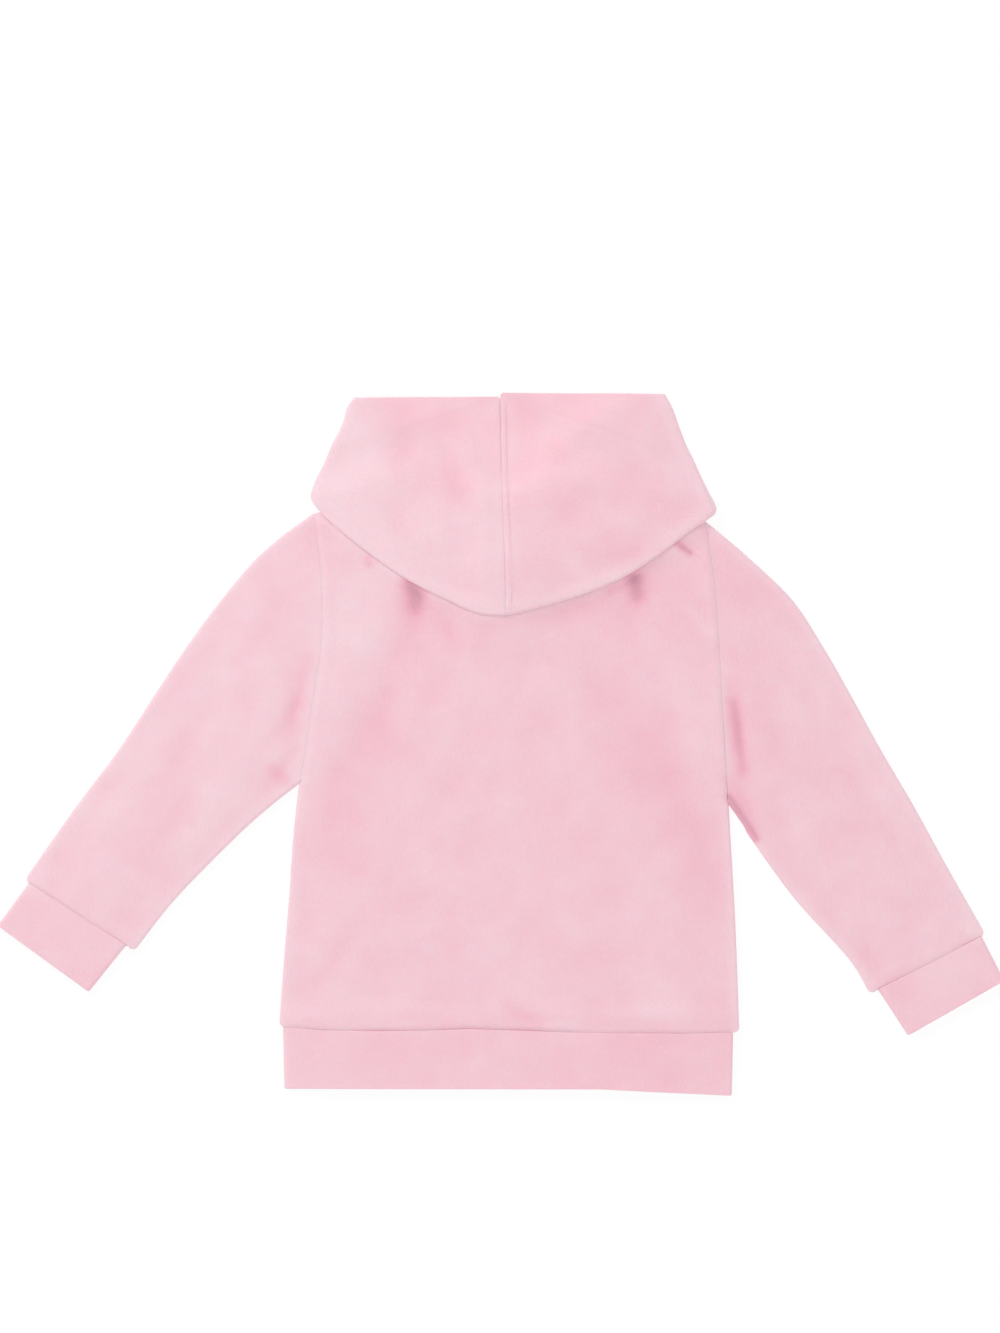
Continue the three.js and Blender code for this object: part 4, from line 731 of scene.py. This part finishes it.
def hem_band_grid(step):
    rows = []
    for s in graded(BAND_HEIGHT, step):
        a, b = (side.hem[0] - side.sign * (BAND_INSET[side.sign] + BAND_TAPER * (1 - s)) for side in SIDES)
        first = mix(a, LEFT.zip_edge, graded(BAND_FRONT_WIDTH, step))[1:][::-1]
        middle = mix(a, b, graded(BAND_WIDTH, step))
        final = mix(b, RIGHT.zip_edge, graded(BAND_FRONT_WIDTH, step))[1:]
        x = np.r_[first, middle, final]
        share = hem_share(x)
        foot = mix(mix(BAND_FOOT["left"], BAND_FOOT["bend"], clip(share / FOOT_BEND)), BAND_FOOT["right"],
                   clip((share - FOOT_BEND) / (1 - FOOT_BEND)))
        y = mix(foot, hem_line(x) - SEAM - 0.2, s)
        d = clip(np.minimum(x - a, b - x), 0, 400)
        tucks = TUCK * np.sin(x / TUCK_PITCH + 1.3 * np.sin(x / TUCK_DRIFT)) * smooth((s - 0.35) / 0.6)
        stand = BAND_STAND * smooth((d - 4) / 60) + (tucks + 0.5 * uneven(x, y)) * smooth((d - 2) / 12)
        depth = roll(d, BAND_R)
        upper = np.repeat([False, True, False], [len(first), len(middle), len(final)])
        z = np.where(upper, BAND_EQUATOR + depth + np.maximum(stand, 0), BAND_EQUATOR - depth)
        rows.append(np.c_[x, y, z])
    return np.array(rows)


# ---- The hood ----


def past_shoulder(x, y):
    """How far a point lies past the body's top edge, along the edge's normal."""
    slope = (back_top(x + 14) - back_top(x - 14)) / 28
    return (y - back_top(x)) / np.hypot(1, slope)


def on_back(x, y):
    """The height of cloth laid straight on the back, carried level past its edges."""
    inside = np.minimum(y, back_top(x) - 3)
    crown = CROWN * smooth(edge_distance(x, inside) / CROWN_REACH)
    held = BACK_LIFT / SLIDER_LIFT * lift(x, inside)
    return EQUATOR + FOLD_R + crown + held + CLOTH + SEAM + HOOD_EASE


def hood_under(x, y, ground):
    step = smooth((past_shoulder(x, y) - STEP_START) / STEP_REACH)
    return mix(mix(on_back(x, y), CLOTH / 2, step), CLOTH / 2 + lift(x, y), ground)


class HoodHalf:
    """One half of the hood: rows square to its folded outline, by their place in the table."""

    def __init__(self, side):
        self.side, self.sign = side, side.sign
        self.first = next(i for i, row in enumerate(side.hood) if not isinstance(row[0], tuple))
        self.last = len(side.hood) - 1
        self.crest = np.array(side.crest)
        ends = []
        for neck, *turn, fold in side.hood:
            neck = np.array(neck) if isinstance(neck, tuple) else self.on_neckline(neck)
            turn = turn[0] if turn else mix(neck, np.array(fold, float), TURN_SHARE)
            ends.append([*neck, *turn, *fold])
        columns = [through(np.arange(len(ends)), c) for c in np.array(ends, float).T]
        pair = lambda k: lambda u: np.stack([columns[k](u), columns[k + 1](u)], axis=-1)
        self.neck_point, self.turn, self.fold = pair(0), pair(2), pair(4)

    def on_neckline(self, across):
        x = mix(self.side.neck[0], self.side.zip_edge, across)
        return np.stack([x - self.sign * SEAM, front_top(self.side, x) + SEAM + 0.1], axis=-1)

    def neck(self, u):
        if u < self.first:
            return self.neck_point(u)
        return self.on_neckline(np.interp(u, self.first + np.arange(len(NECK_STOPS)) / 2, NECK_STOPS))

    def inwards(self, u):
        along = unit(self.fold(clip(u + 0.5, 0, self.last)) - self.fold(clip(u - 0.5, 0, self.last)))
        square = mix(np.array([0.0, 1.0]), self.sign * np.array([-along[1], along[0]]), clip(u / 0.5))
        turned = smooth((u / self.last - HEM_FROM) / (1 - HEM_FROM))
        return unit(mix(unit(square), unit(self.crest - self.fold(u)), turned))

    def face(self, u):
        share = u / self.last
        return self.crest + [self.sign * share * CREST_SPREAD, -(1 - share) * CREST_SPREAD]

    def under_path(self, u, t):
        fold = self.fold(u)
        return cubic(fold, fold + self.inwards(u) * FOLD_REACH, self.turn(u), self.neck(u), t)


HALVES = [HoodHalf(side) for side in SIDES]
OUTLINE = np.vstack([HALVES[0].fold(np.linspace(14, 0, 113)), HALVES[1].fold(np.linspace(0, 14, 113))[1:]])
RIM = OUTLINE[np.argmin(OUTLINE[:, 0]) : np.argmax(OUTLINE[:, 0]) + 1]  # its lower part, left to right
FACE_LINES = [np.array([half.fold(half.last), half.crest]) for half in HALVES]
OPENING = [half.under_path(half.last, np.linspace(0, 1, 13)) for half in HALVES]
hood_seam_x = through(SEAM_Y, SEAM_AT)


def openness(x, y):
    """1 well inside the face opening, where the upper layer sinks to the surface, and 0 outside it."""
    found = []
    for line, sign in zip(OPENING, (1, -1)):
        edge_x = np.interp(-y, -line[:, 1], line[:, 0])
        inside = ((x - edge_x) * sign > 0) & (y > line[-1, 1])
        found.append(np.where(inside, smooth(distance_to_line(line, x, y) / OPENING_EASE), 0))
    return np.where(x < ZIP_X, *found)


def hood_base(x, y):
    open_ = openness(x, y)
    slope = smooth((past_shoulder(x, y) - UPPER_START) / mix(NECK_SLOPE, OPEN_SLOPE, open_))
    return mix(on_back(x, y), CLOTH / 2, slope) + 2 * HOOD_R * (1 - open_ * slope)


def hood_top(x, y):
    d = distance_to_line(OUTLINE, x, y)
    hem = np.where(x < LEFT.crest[0], *[distance_to_line(line, x, y) for line in FACE_LINES])
    sunk = 1 - 0.75 * openness(x, y) * smooth(past_shoulder(x, y) / OPEN_SLOPE)
    crown = HOOD_CROWN * smooth(np.minimum(d, 1.6 * (hem + 5)) / HOOD_REACH)
    soft = folds(HOOD_FOLDS, x, y, waned=False) + folds(HOOD_CREASES, x, y) + hood_uneven(x, y)
    raised = crown + soft * smooth(d / FOLD_EASE) * smooth((hem + 5) / 20)
    body = hood_base(x, y) + np.maximum(0, raised) * sunk
    rim = ridges(HOOD_RIM, d) * smooth(hem / 12)
    # the centre seam is pressed to the right and stitched down there
    return body + rim + ridges(HOOD_ALLOWANCE, x - hood_seam_x(y)) * smooth(d / 6) * smooth(hem / 6)


def hood_grid(half, rows, under_steps, over_steps):
    """From the neck seam out to the fold, round it and back over the top to the face edge."""
    grid = []
    turn_angles = np.radians(np.linspace(-75, 75, 9))
    fine = np.linspace(0, 0.3, 120)
    aside = np.array([half.sign * SEAM / 2, 0])
    for u in rows:
        fold, face, inwards = half.fold(u) + aside, half.face(u) + aside, half.inwards(u)
        ground = float(clip(2 * (u - half.first) + 2 * GROUND_FROM + 1))
        low = float(hood_under(*fold, ground))
        r = (float(hood_base(*fold)) - low) / 2
        below = lambda t: half.under_path(u, t) + aside
        above = lambda t: cubic(fold, fold + inwards * FOLD_REACH, mix(face, fold, TURN_SHARE), face, t)
        # where each path has left the round of the fold
        starts = [np.interp(1.03 * r, np.maximum.accumulate(np.hypot(*(path(fine) - fold).T)), fine)
                  for path in (below, above)]
        under = below(mix(UNDER_FROM, starts[0], np.linspace(0, 1, under_steps) ** UNDER_GRADE))
        tip = fold + inwards * r * (1 - np.cos(turn_angles))[:, None]
        over = above(mix(starts[1], 1, np.linspace(0, 1, over_steps) ** OVER_GRADE))
        grid.append(np.vstack([
            np.c_[under, hood_under(*under.T, ground)],
            np.c_[tip, low + r + r * np.sin(turn_angles)],
            np.c_[over, hood_top(*over.T)],
        ]))
    return np.array(grid)


# ---- Nodes ----


def add_node(tree, kind, settings=None, out=0, **inputs):
    """Adds a node and gives one of its outputs. An input is a value, or an output to link."""
    made = tree.nodes.new(kind)
    for name, value in (settings or {}).items():
        setattr(made, name, value)
    for name, value in inputs.items():
        socket = made.inputs[int(name[1:]) if name[1:].isdigit() else name.replace("_", " ")]
        if isinstance(value, bpy.types.NodeSocket):
            tree.links.new(value, socket)
        else:
            socket.default_value = value
    return made.outputs[out] if len(made.outputs) else None


def linear(code):
    """An sRGB hex colour as linear light."""
    parts = [int(code[k : k + 2], 16) / 255 for k in (1, 3, 5)]
    return tuple(c / 12.92 if c <= 0.04045 else ((c + 0.055) / 1.055) ** 2.4 for c in parts) + (1.0,)


WHITE = linear("#ffffff")


class Finish:
    """A material in the making, with the nodes that several of them share."""

    def __init__(self, name):
        self.material = bpy.data.materials.new(name)
        self.material.use_nodes = True
        self.tree = self.material.node_tree
        self.tree.nodes.clear()

    def add(self, kind, settings=None, out=0, **inputs):
        return add_node(self.tree, "ShaderNode" + kind, settings, out, **inputs)

    def uv(self):
        return self.add("UVMap", {"uv_map": "cloth"})

    def place(self):
        return self.add("TexCoord", out="Object")

    def noise(self, vector, scale, detail, roughness=0.5):
        return self.add("TexNoise", Vector=vector, Scale=scale, Detail=detail, Roughness=roughness)

    def bands(self, vector, scale, distortion, detail, **more):
        return self.add("TexWave", {"wave_type": "BANDS", "bands_direction": "X"}, 1, Vector=vector,
                        Scale=scale, Distortion=distortion, Detail=detail, **more)

    def mapped(self, vector, **how):
        return self.add("Mapping", Vector=vector, **how)

    def spread(self, value, low, high, start=0.3, end=0.7):
        """The value's range from start to end, spread from low to high."""
        return self.add("MapRange", Value=value, From_Min=start, From_Max=end, To_Min=low, To_Max=high)

    def blend(self, factor, first, second):
        return self.add("Mix", {"data_type": "RGBA"}, 2, Factor=factor, i6=first, i7=second)

    def toned(self, factor, first, second):
        return self.blend(factor, linear(first), linear(second))

    def math(self, operation, *values, **settings):
        return self.add("Math", {"operation": operation, **settings},
                        **{f"i{k}": value for k, value in enumerate(values)})

    def bump(self, height, strength, distance, **under):
        return self.add("Bump", Strength=strength, Distance=distance, Height=height, **under)

    def done(self, colour, **skin):
        return self.covered(self.add("BsdfPrincipled", Base_Color=colour, **skin))

    def covered(self, surface):
        self.add("OutputMaterial", Surface=surface)
        return self.material


def brushed_fleece(name, raised, relief_share):
    """Polyester-cotton sweatshirt fleece, knitted, coloured with dye and brushed: a matt, slightly clouded
    face with a short pile and a soft sheen, with painted shade in the folds and painted light, the colour
    `raised`, on the ridges."""
    f = Finish(name)
    uv, place = f.uv(), f.place()
    cloud = f.noise(place, 62.0, 3.0)  # clouding of the nap, about 16 mm across
    patch = f.noise(place, 22.0, 2.0)  # patches brushed one way or the other, about 45 mm across
    # the nap's tufts: real ones are 0.3 mm, drawn at 1.8 mm so that they show
    tuft = f.noise(f.mapped(uv, Scale=(1.0, 0.62, 1.0)), 560.0, 3.0, 0.65)
    # knitted wales, 1 mm apart, drawn at 2 mm: they barely show through the nap
    wale = f.bands(uv, 78.0, 1.6, 2.0, Detail_Scale=3.0)
    # painted shade in the folds and painted light on the ridges, from the shells' attribute, with the
    # fleece's own clouding and tufts added
    tone = f.add("Attribute", {"attribute_type": "GEOMETRY", "attribute_name": "nap"}, "Fac")
    for part in (f.spread(cloud, -0.06, 0.06), f.spread(patch, -0.05, 0.05),
                 f.spread(tuft, -0.13, 0.13, 0.25, 0.75)):
        tone = f.math("ADD", tone, part)
    # from the painted shade pink #edb5c4 up to the painted light colour `raised`
    painted_light_and_shade_pink = f.toned(tone, "#edb5c4", raised)
    # past the darkest painted shade, a painted shadow colour #c18a9d
    dye_and_painted_shade = f.blend(f.math("MULTIPLY", tone, -1.0, use_clamp=True), painted_light_and_shade_pink, linear("#c18a9d"))
    fine = f.bump(f.math("MULTIPLY_ADD", wale, 0.12, tuft), 0.4 * relief_share, 0.0006)
    return f.done(dye_and_painted_shade, Roughness=0.95, IOR=1.5, Specular_IOR_Level=0.15, Sheen_Weight=0.2,
                  Sheen_Roughness=0.45, Sheen_Tint=linear("#fbe4ea"), Subsurface_Weight=0.35,
                  Subsurface_Radius=(1.0, 0.55, 0.6), Subsurface_Scale=0.0022,
                  Normal=f.bump(cloud, 0.35, 0.001, Normal=fine))


def woven_tape():
    """Polyester zip tape, woven in a fine herringbone: smoother and a little glossier than the fleece."""
    f = Finish("polyester_zip_tape_woven")
    uv = f.uv()
    # real threads are 0.3 mm apart; drawn at 0.9 mm so that the weave shows
    threads = f.bands(f.mapped(uv, Rotation=(0.0, 0.0, math.radians(45))), 175.0, 0.4, 1.0)
    worn = f.spread(f.noise(uv, 120.0, 3.0), 0.55, 0.75, 0.0, 1.0)
    return f.done(f.toned(threads, "#e2a3b4", "#f0bfcc"), Roughness=worn, IOR=1.5, Specular_IOR_Level=0.35,
                  Normal=f.bump(threads, 0.6, 0.0002))


def sewing_thread():
    """Spun polyester sewing thread, its dye matched to the fleece: matt, with a fine twist along each stitch.
    """
    f = Finish("spun_polyester_sewing_thread")
    twist = f.noise(f.place(), 1500.0, 2.0)
    return f.done(f.toned(twist, "#e6adbc", "#f4c6d3"), Roughness=0.8, IOR=1.5, Specular_IOR_Level=0.3,
                  Normal=f.bump(twist, 0.4, 0.0001))


def nylon_coil():
    """Extruded nylon filament, wound and set as a zip coil: smooth and slightly translucent."""
    f = Finish("nylon_zip_coil_extruded")
    cloudy = f.noise(f.place(), 260.0, 2.0)
    return f.done(f.toned(cloudy, "#e3a6b6", "#f0c0cc"), Roughness=f.spread(cloudy, 0.32, 0.48, 0.0, 1.0),
                  IOR=1.53, Subsurface_Weight=0.08)


def plated_zinc():
    """Die-cast zinc, nickel plated and tumbled: bright and softly reflecting, with fine scuffs."""
    f = Finish("zinc_die_cast_nickel_plated")
    place = f.place()
    scuffs = f.noise(f.mapped(place, Scale=(1.0, 0.12, 1.0)), 3800.0, 3.0)
    tarnish = f.noise(place, 240.0, 3.0)
    return f.done(f.toned(tarnish, "#b9b9be", "#d2d2d6"), Metallic=1.0, Roughness=f.spread(scuffs, 0.22, 0.4),
                  Normal=f.bump(scuffs, 0.25, 0.00004))


def background_paper():
    """Matt white background paper, lit from behind as well, so that it stays close to white."""
    f = Finish("background_paper_matt")
    grain = f.bump(f.noise(f.place(), 900.0, 2.0), 0.05, 0.0002)
    paper = f.add("BsdfDiffuse", Color=WHITE, Roughness=1.0, Normal=grain)
    glow = f.add("Emission", Color=WHITE, Strength=1.0)
    return f.covered(f.add("MixShader", Fac=0.85, i1=paper, i2=glow))


CLOTHS = {
    # the second value is each fleece's painted light colour, for the ridges of its folds
    "fleece": brushed_fleece("sweatshirt_fleece_brushed", "#f1d5dc", 1.0),
    "band_fleece": brushed_fleece("sweatshirt_fleece_doubled", "#f1d3da", 0.8),
    "tape": woven_tape(),
}
THREAD, COIL, METAL = sewing_thread(), nylon_coil(), plated_zinc()

# ---- Stitches and the zip's coil ----


def repeat_tree(name, **sizes):
    """A tree that repeats a small rounded link along a line. Its named inputs are the given sizes."""
    tree = bpy.data.node_groups.new(name, "GeometryNodeTree")

    def socket(label, kind, way="INPUT"):
        return tree.interface.new_socket(label, in_out=way, socket_type="NodeSocket" + kind)

    def geometry(kind, settings=None, **inputs):
        return add_node(tree, "GeometryNode" + kind, settings, **inputs)

    socket("Line", "Geometry")
    for label, value in sizes.items():
        socket(label, "Float").default_value = value * MM
    socket("Material", "Material")
    socket("Links", "Geometry", "OUTPUT")
    given = tree.nodes.new("NodeGroupInput").outputs
    points = geometry("ResampleCurve", {"mode": "LENGTH"}, Curve=geometry("MeshToCurve", Mesh=given["Line"]),
                      Length=given["Pitch"])
    size = add_node(tree, "ShaderNodeCombineXYZ", X=given["Length"], Y=given["Width"], Z=given["Thickness"])
    ball = geometry("MeshUVSphere", Segments=6, Rings=4, Radius=0.5)
    link = geometry("Transform", Geometry=ball, Scale=size)
    aligned = add_node(tree, "FunctionNodeAlignRotationToVector", {"axis": "X"},
                       Vector=geometry("InputTangent"))
    placed = geometry("InstanceOnPoints", Points=points, Instance=link, Rotation=aligned)
    even = geometry("SetShadeSmooth", Geometry=geometry("RealizeInstances", Geometry=placed))
    finished = geometry("SetMaterial", Geometry=even, Material=given["Material"])
    tree.links.new(finished, tree.nodes.new("NodeGroupOutput").inputs[0])
    return tree


STITCHES = repeat_tree("stitches_along_a_seam", Pitch=2.8, Length=2.3, Width=0.5, Thickness=0.45)
TEETH = repeat_tree("coil_along_a_tape", Pitch=1.3, Length=0.85, Width=3.2, Thickness=0.9)


def repeated(name, line, tree, material):
    """A plain mesh made by one of the trees along a line of points in millimetres."""
    guide = bpy.data.meshes.new(name + "_guide")
    guide.from_pydata(((line + PLACE) * MM).tolist(), [(k, k + 1) for k in range(len(line) - 1)], [])
    holder = linked(name + "_guide", guide)
    modifier = holder.modifiers.new("repeat", "NODES")
    modifier.node_group = tree
    for socket in tree.interface.items_tree:
        if socket.name == "Material":
            modifier[socket.identifier] = material
    mesh = bpy.data.meshes.new_from_object(holder.evaluated_get(bpy.context.evaluated_depsgraph_get()))
    mesh.name = name
    bpy.data.objects.remove(holder)
    bpy.data.meshes.remove(guide)
    piece = linked(name, mesh)
    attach(piece, "jacket")
    return piece


# ---- The jacket ----

GRID = 2.4
TUBE_END = {"edge_round": 0.35, "edge_share": 0.85}
BAND_END = {"thickness": BAND, "edge_round": 1.1, "edge_share": 0.4}

rows = body_rows(GRID)
edges = [edge_points(side, rows) for side in SIDES]
mid = body_grid(*edges, rows, graded(BACK_WIDTH, GRID), back_top, back_height)
back = shell("back_panel", mid, meet=(0.25, 0.15, 0.3, 0.3), nap=body_painted_light_and_shade(mid), **TUBE_END)
sew_in(back, "back", mid, CUTS["back"])

for side, edge, half in zip(SIDES, edges, HALVES):
    low = HEM_Y + float(hem_wave(0.5)) + 0.2
    ys = mix(low, ZIP_TOP + 3, (edge[:, 1] - edge[0, 1]) / (edge[-1, 1] - edge[0, 1]))
    inner = np.c_[np.full(len(edge), side.zip_edge), ys]
    mid = body_grid(edge, inner, rows, graded(FRONT_WIDTH, GRID), lambda x: front_top(side, x), front_height)
    front = shell(f"front_panel_{side.name}", mid, meet=(0.25, 0.15, 0.3, 0), nap=body_painted_light_and_shade(mid))
    sew_in(front, f"front_{side.name}", mid, CUTS["front"])

    mid = sleeve_grid(side, GRID)
    sleeve = shell(f"sleeve_tube_{side.name}", mid, closed=True, meet=(0.7, 0.3, 0, 0), nap=body_painted_light_and_shade(mid),
                   **TUBE_END)
    sew_in(sleeve, f"sleeve_{side.name}", mid, CUTS["sleeve"], closed=True)

    mid = cuff_grid(side, GRID * 0.8)
    cuff = shell(f"cuff_band_{side.name}", mid, closed=True, meet=(0.3, 0, 0, 0), nap=body_painted_light_and_shade(mid),
                 **BAND_END)
    sew_in(cuff, f"cuff_{side.name}", mid, CUTS["cuff"], slot="band_fleece", closed=True)

    mid = hood_grid(half, np.r_[0, 0.02, 0.05, np.linspace(0.1, half.last, 130)], 44, 64)
    hood = shell(f"hood_half_{side.name}", mid, meet=(0.17, 0, 0.55, 0), nap=hood_painted_light_and_shade(mid))
    sew_in(hood, f"hood_{side.name}", mid, CUTS["hood"])

mid = hem_band_grid(GRID * 0.9)
band = shell("hem_band_tube", mid, meet=(0, 0.3, 0, 0), nap=body_painted_light_and_shade(mid), **BAND_END)
sew_in(band, "hem_band", mid, CUTS["band"], slot="band_fleece")

# The zip: two tapes, their coils and the metal slider with its pull.
ON_BAND = BAND_EQUATOR - BAND_R + BAND / 2 + SEAM + TAPE / 2
for side in SIDES:
    y = np.arange(ZIP_FOOT, ZIP_TOP + 1.1, 1.5)[:, None]
    parted = smooth((y - SLIDER_Y + 3) / 4)
    x = ZIP_X + side.sign * (SEAM / 2 + parted + np.array(ACROSS_TAPE) * (TAPE_WIDTH - parted))
    z = mix(ON_BAND, CLOTH + SEAM + TAPE / 2 + lift(x, y), smooth((y - HEM_Y - 1) / 12))
    mid = np.stack([x, np.broadcast_to(y, x.shape), z], axis=2)
    tape = shell(f"zip_tape_woven_{side.name}", mid, thickness=TAPE, edge_round=0.5)
    # the coil lies under the tape's edge, and the two sides' turns alternate
    along = mid[2:-2, 0] + [side.sign * COIL_IN, side.sign * COIL_SHIFT, -TAPE / 2 - COIL_DROP]
    coil = repeated(f"zip_coil_{side.name}", along, TEETH, COIL)
    sew_in(tape, f"zip_tape_{side.name}", mid, CUTS["tape"], slot="tape")

for node in ("zip_slider", "zip_pull"):
    shown = bpy.data.objects[node].data.materials
    shown.clear()
    shown.append(METAL)

ys = np.linspace(*STITCHED, 160)
xs = hood_seam_x(ys) + STITCH_OFFSET
repeated("hood_seam_stitches", np.c_[xs, ys, hood_top(xs, ys) + CLOTH / 2 + 0.05], STITCHES, THREAD)

# ---- Floor, light and camera ----

FLOOR_HALF, FLOOR_Z = 3, -0.0002  # in metres
floor_mesh = bpy.data.meshes.new("floor")
corners = [(x * FLOOR_HALF, y * FLOOR_HALF, FLOOR_Z) for x, y in ((-1, -1), (1, -1), (1, 1), (-1, 1))]
floor_mesh.from_pydata(corners, [], [(0, 1, 2, 3)])
floor = linked("floor", floor_mesh)
floor_mesh.materials.append(background_paper())
floor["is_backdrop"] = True

world = bpy.data.worlds.new("studio")
world.use_nodes = True
background = world.node_tree.nodes["Background"].inputs
background["Color"].default_value, background["Strength"].default_value = WHITE, 0.76
scene.world = world

# Two round lamps aimed at the jacket's middle: place and width in metres, and power in watts.
AIM = np.array([0.0, 0.05, 0.0])
for name, place, width, power in (
    ("key_upper_left", (-1.6, 1.7, 1.5), 1.0, 21.0),
    ("fill_overhead", (0.5, -0.6, 2.4), 1.8, 11.5),
):
    lamp = bpy.data.lights.new(name, "AREA")
    lamp.shape, lamp.size, lamp.energy = "DISK", width, power
    light = linked(name, lamp)
    light.location = place
    way = AIM - place
    tilt, heading = math.atan2(math.hypot(way[0], way[1]), -way[2]), math.atan2(way[1], way[0])
    light.rotation_euler = (tilt, 0, heading - math.pi / 2)

# The camera looks straight down. The height of its view, `tall`, is measured at the height `plane`.
VIEW = {"x": -8.76, "y": 309.2, "plane": 8, "tall": 973, "lens": 100, "film": 36}
camera_data = bpy.data.cameras.new("camera")
camera_data.lens = VIEW["lens"]
camera_data.sensor_fit = "VERTICAL"
camera_data.sensor_height = VIEW["film"]
camera = linked("camera", camera_data)
camera.location = ((VIEW["x"] + PLACE[0]) * MM, (VIEW["y"] + PLACE[1]) * MM,
                   (VIEW["plane"] + VIEW["tall"] * VIEW["lens"] / VIEW["film"]) * MM)
scene.camera = camera
scene.view_settings.view_transform = "Standard"

plain = lambda box: [[float(v) for v in corner] for corner in box]
{"cad": plain(cad_box), "visual": plain(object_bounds())}
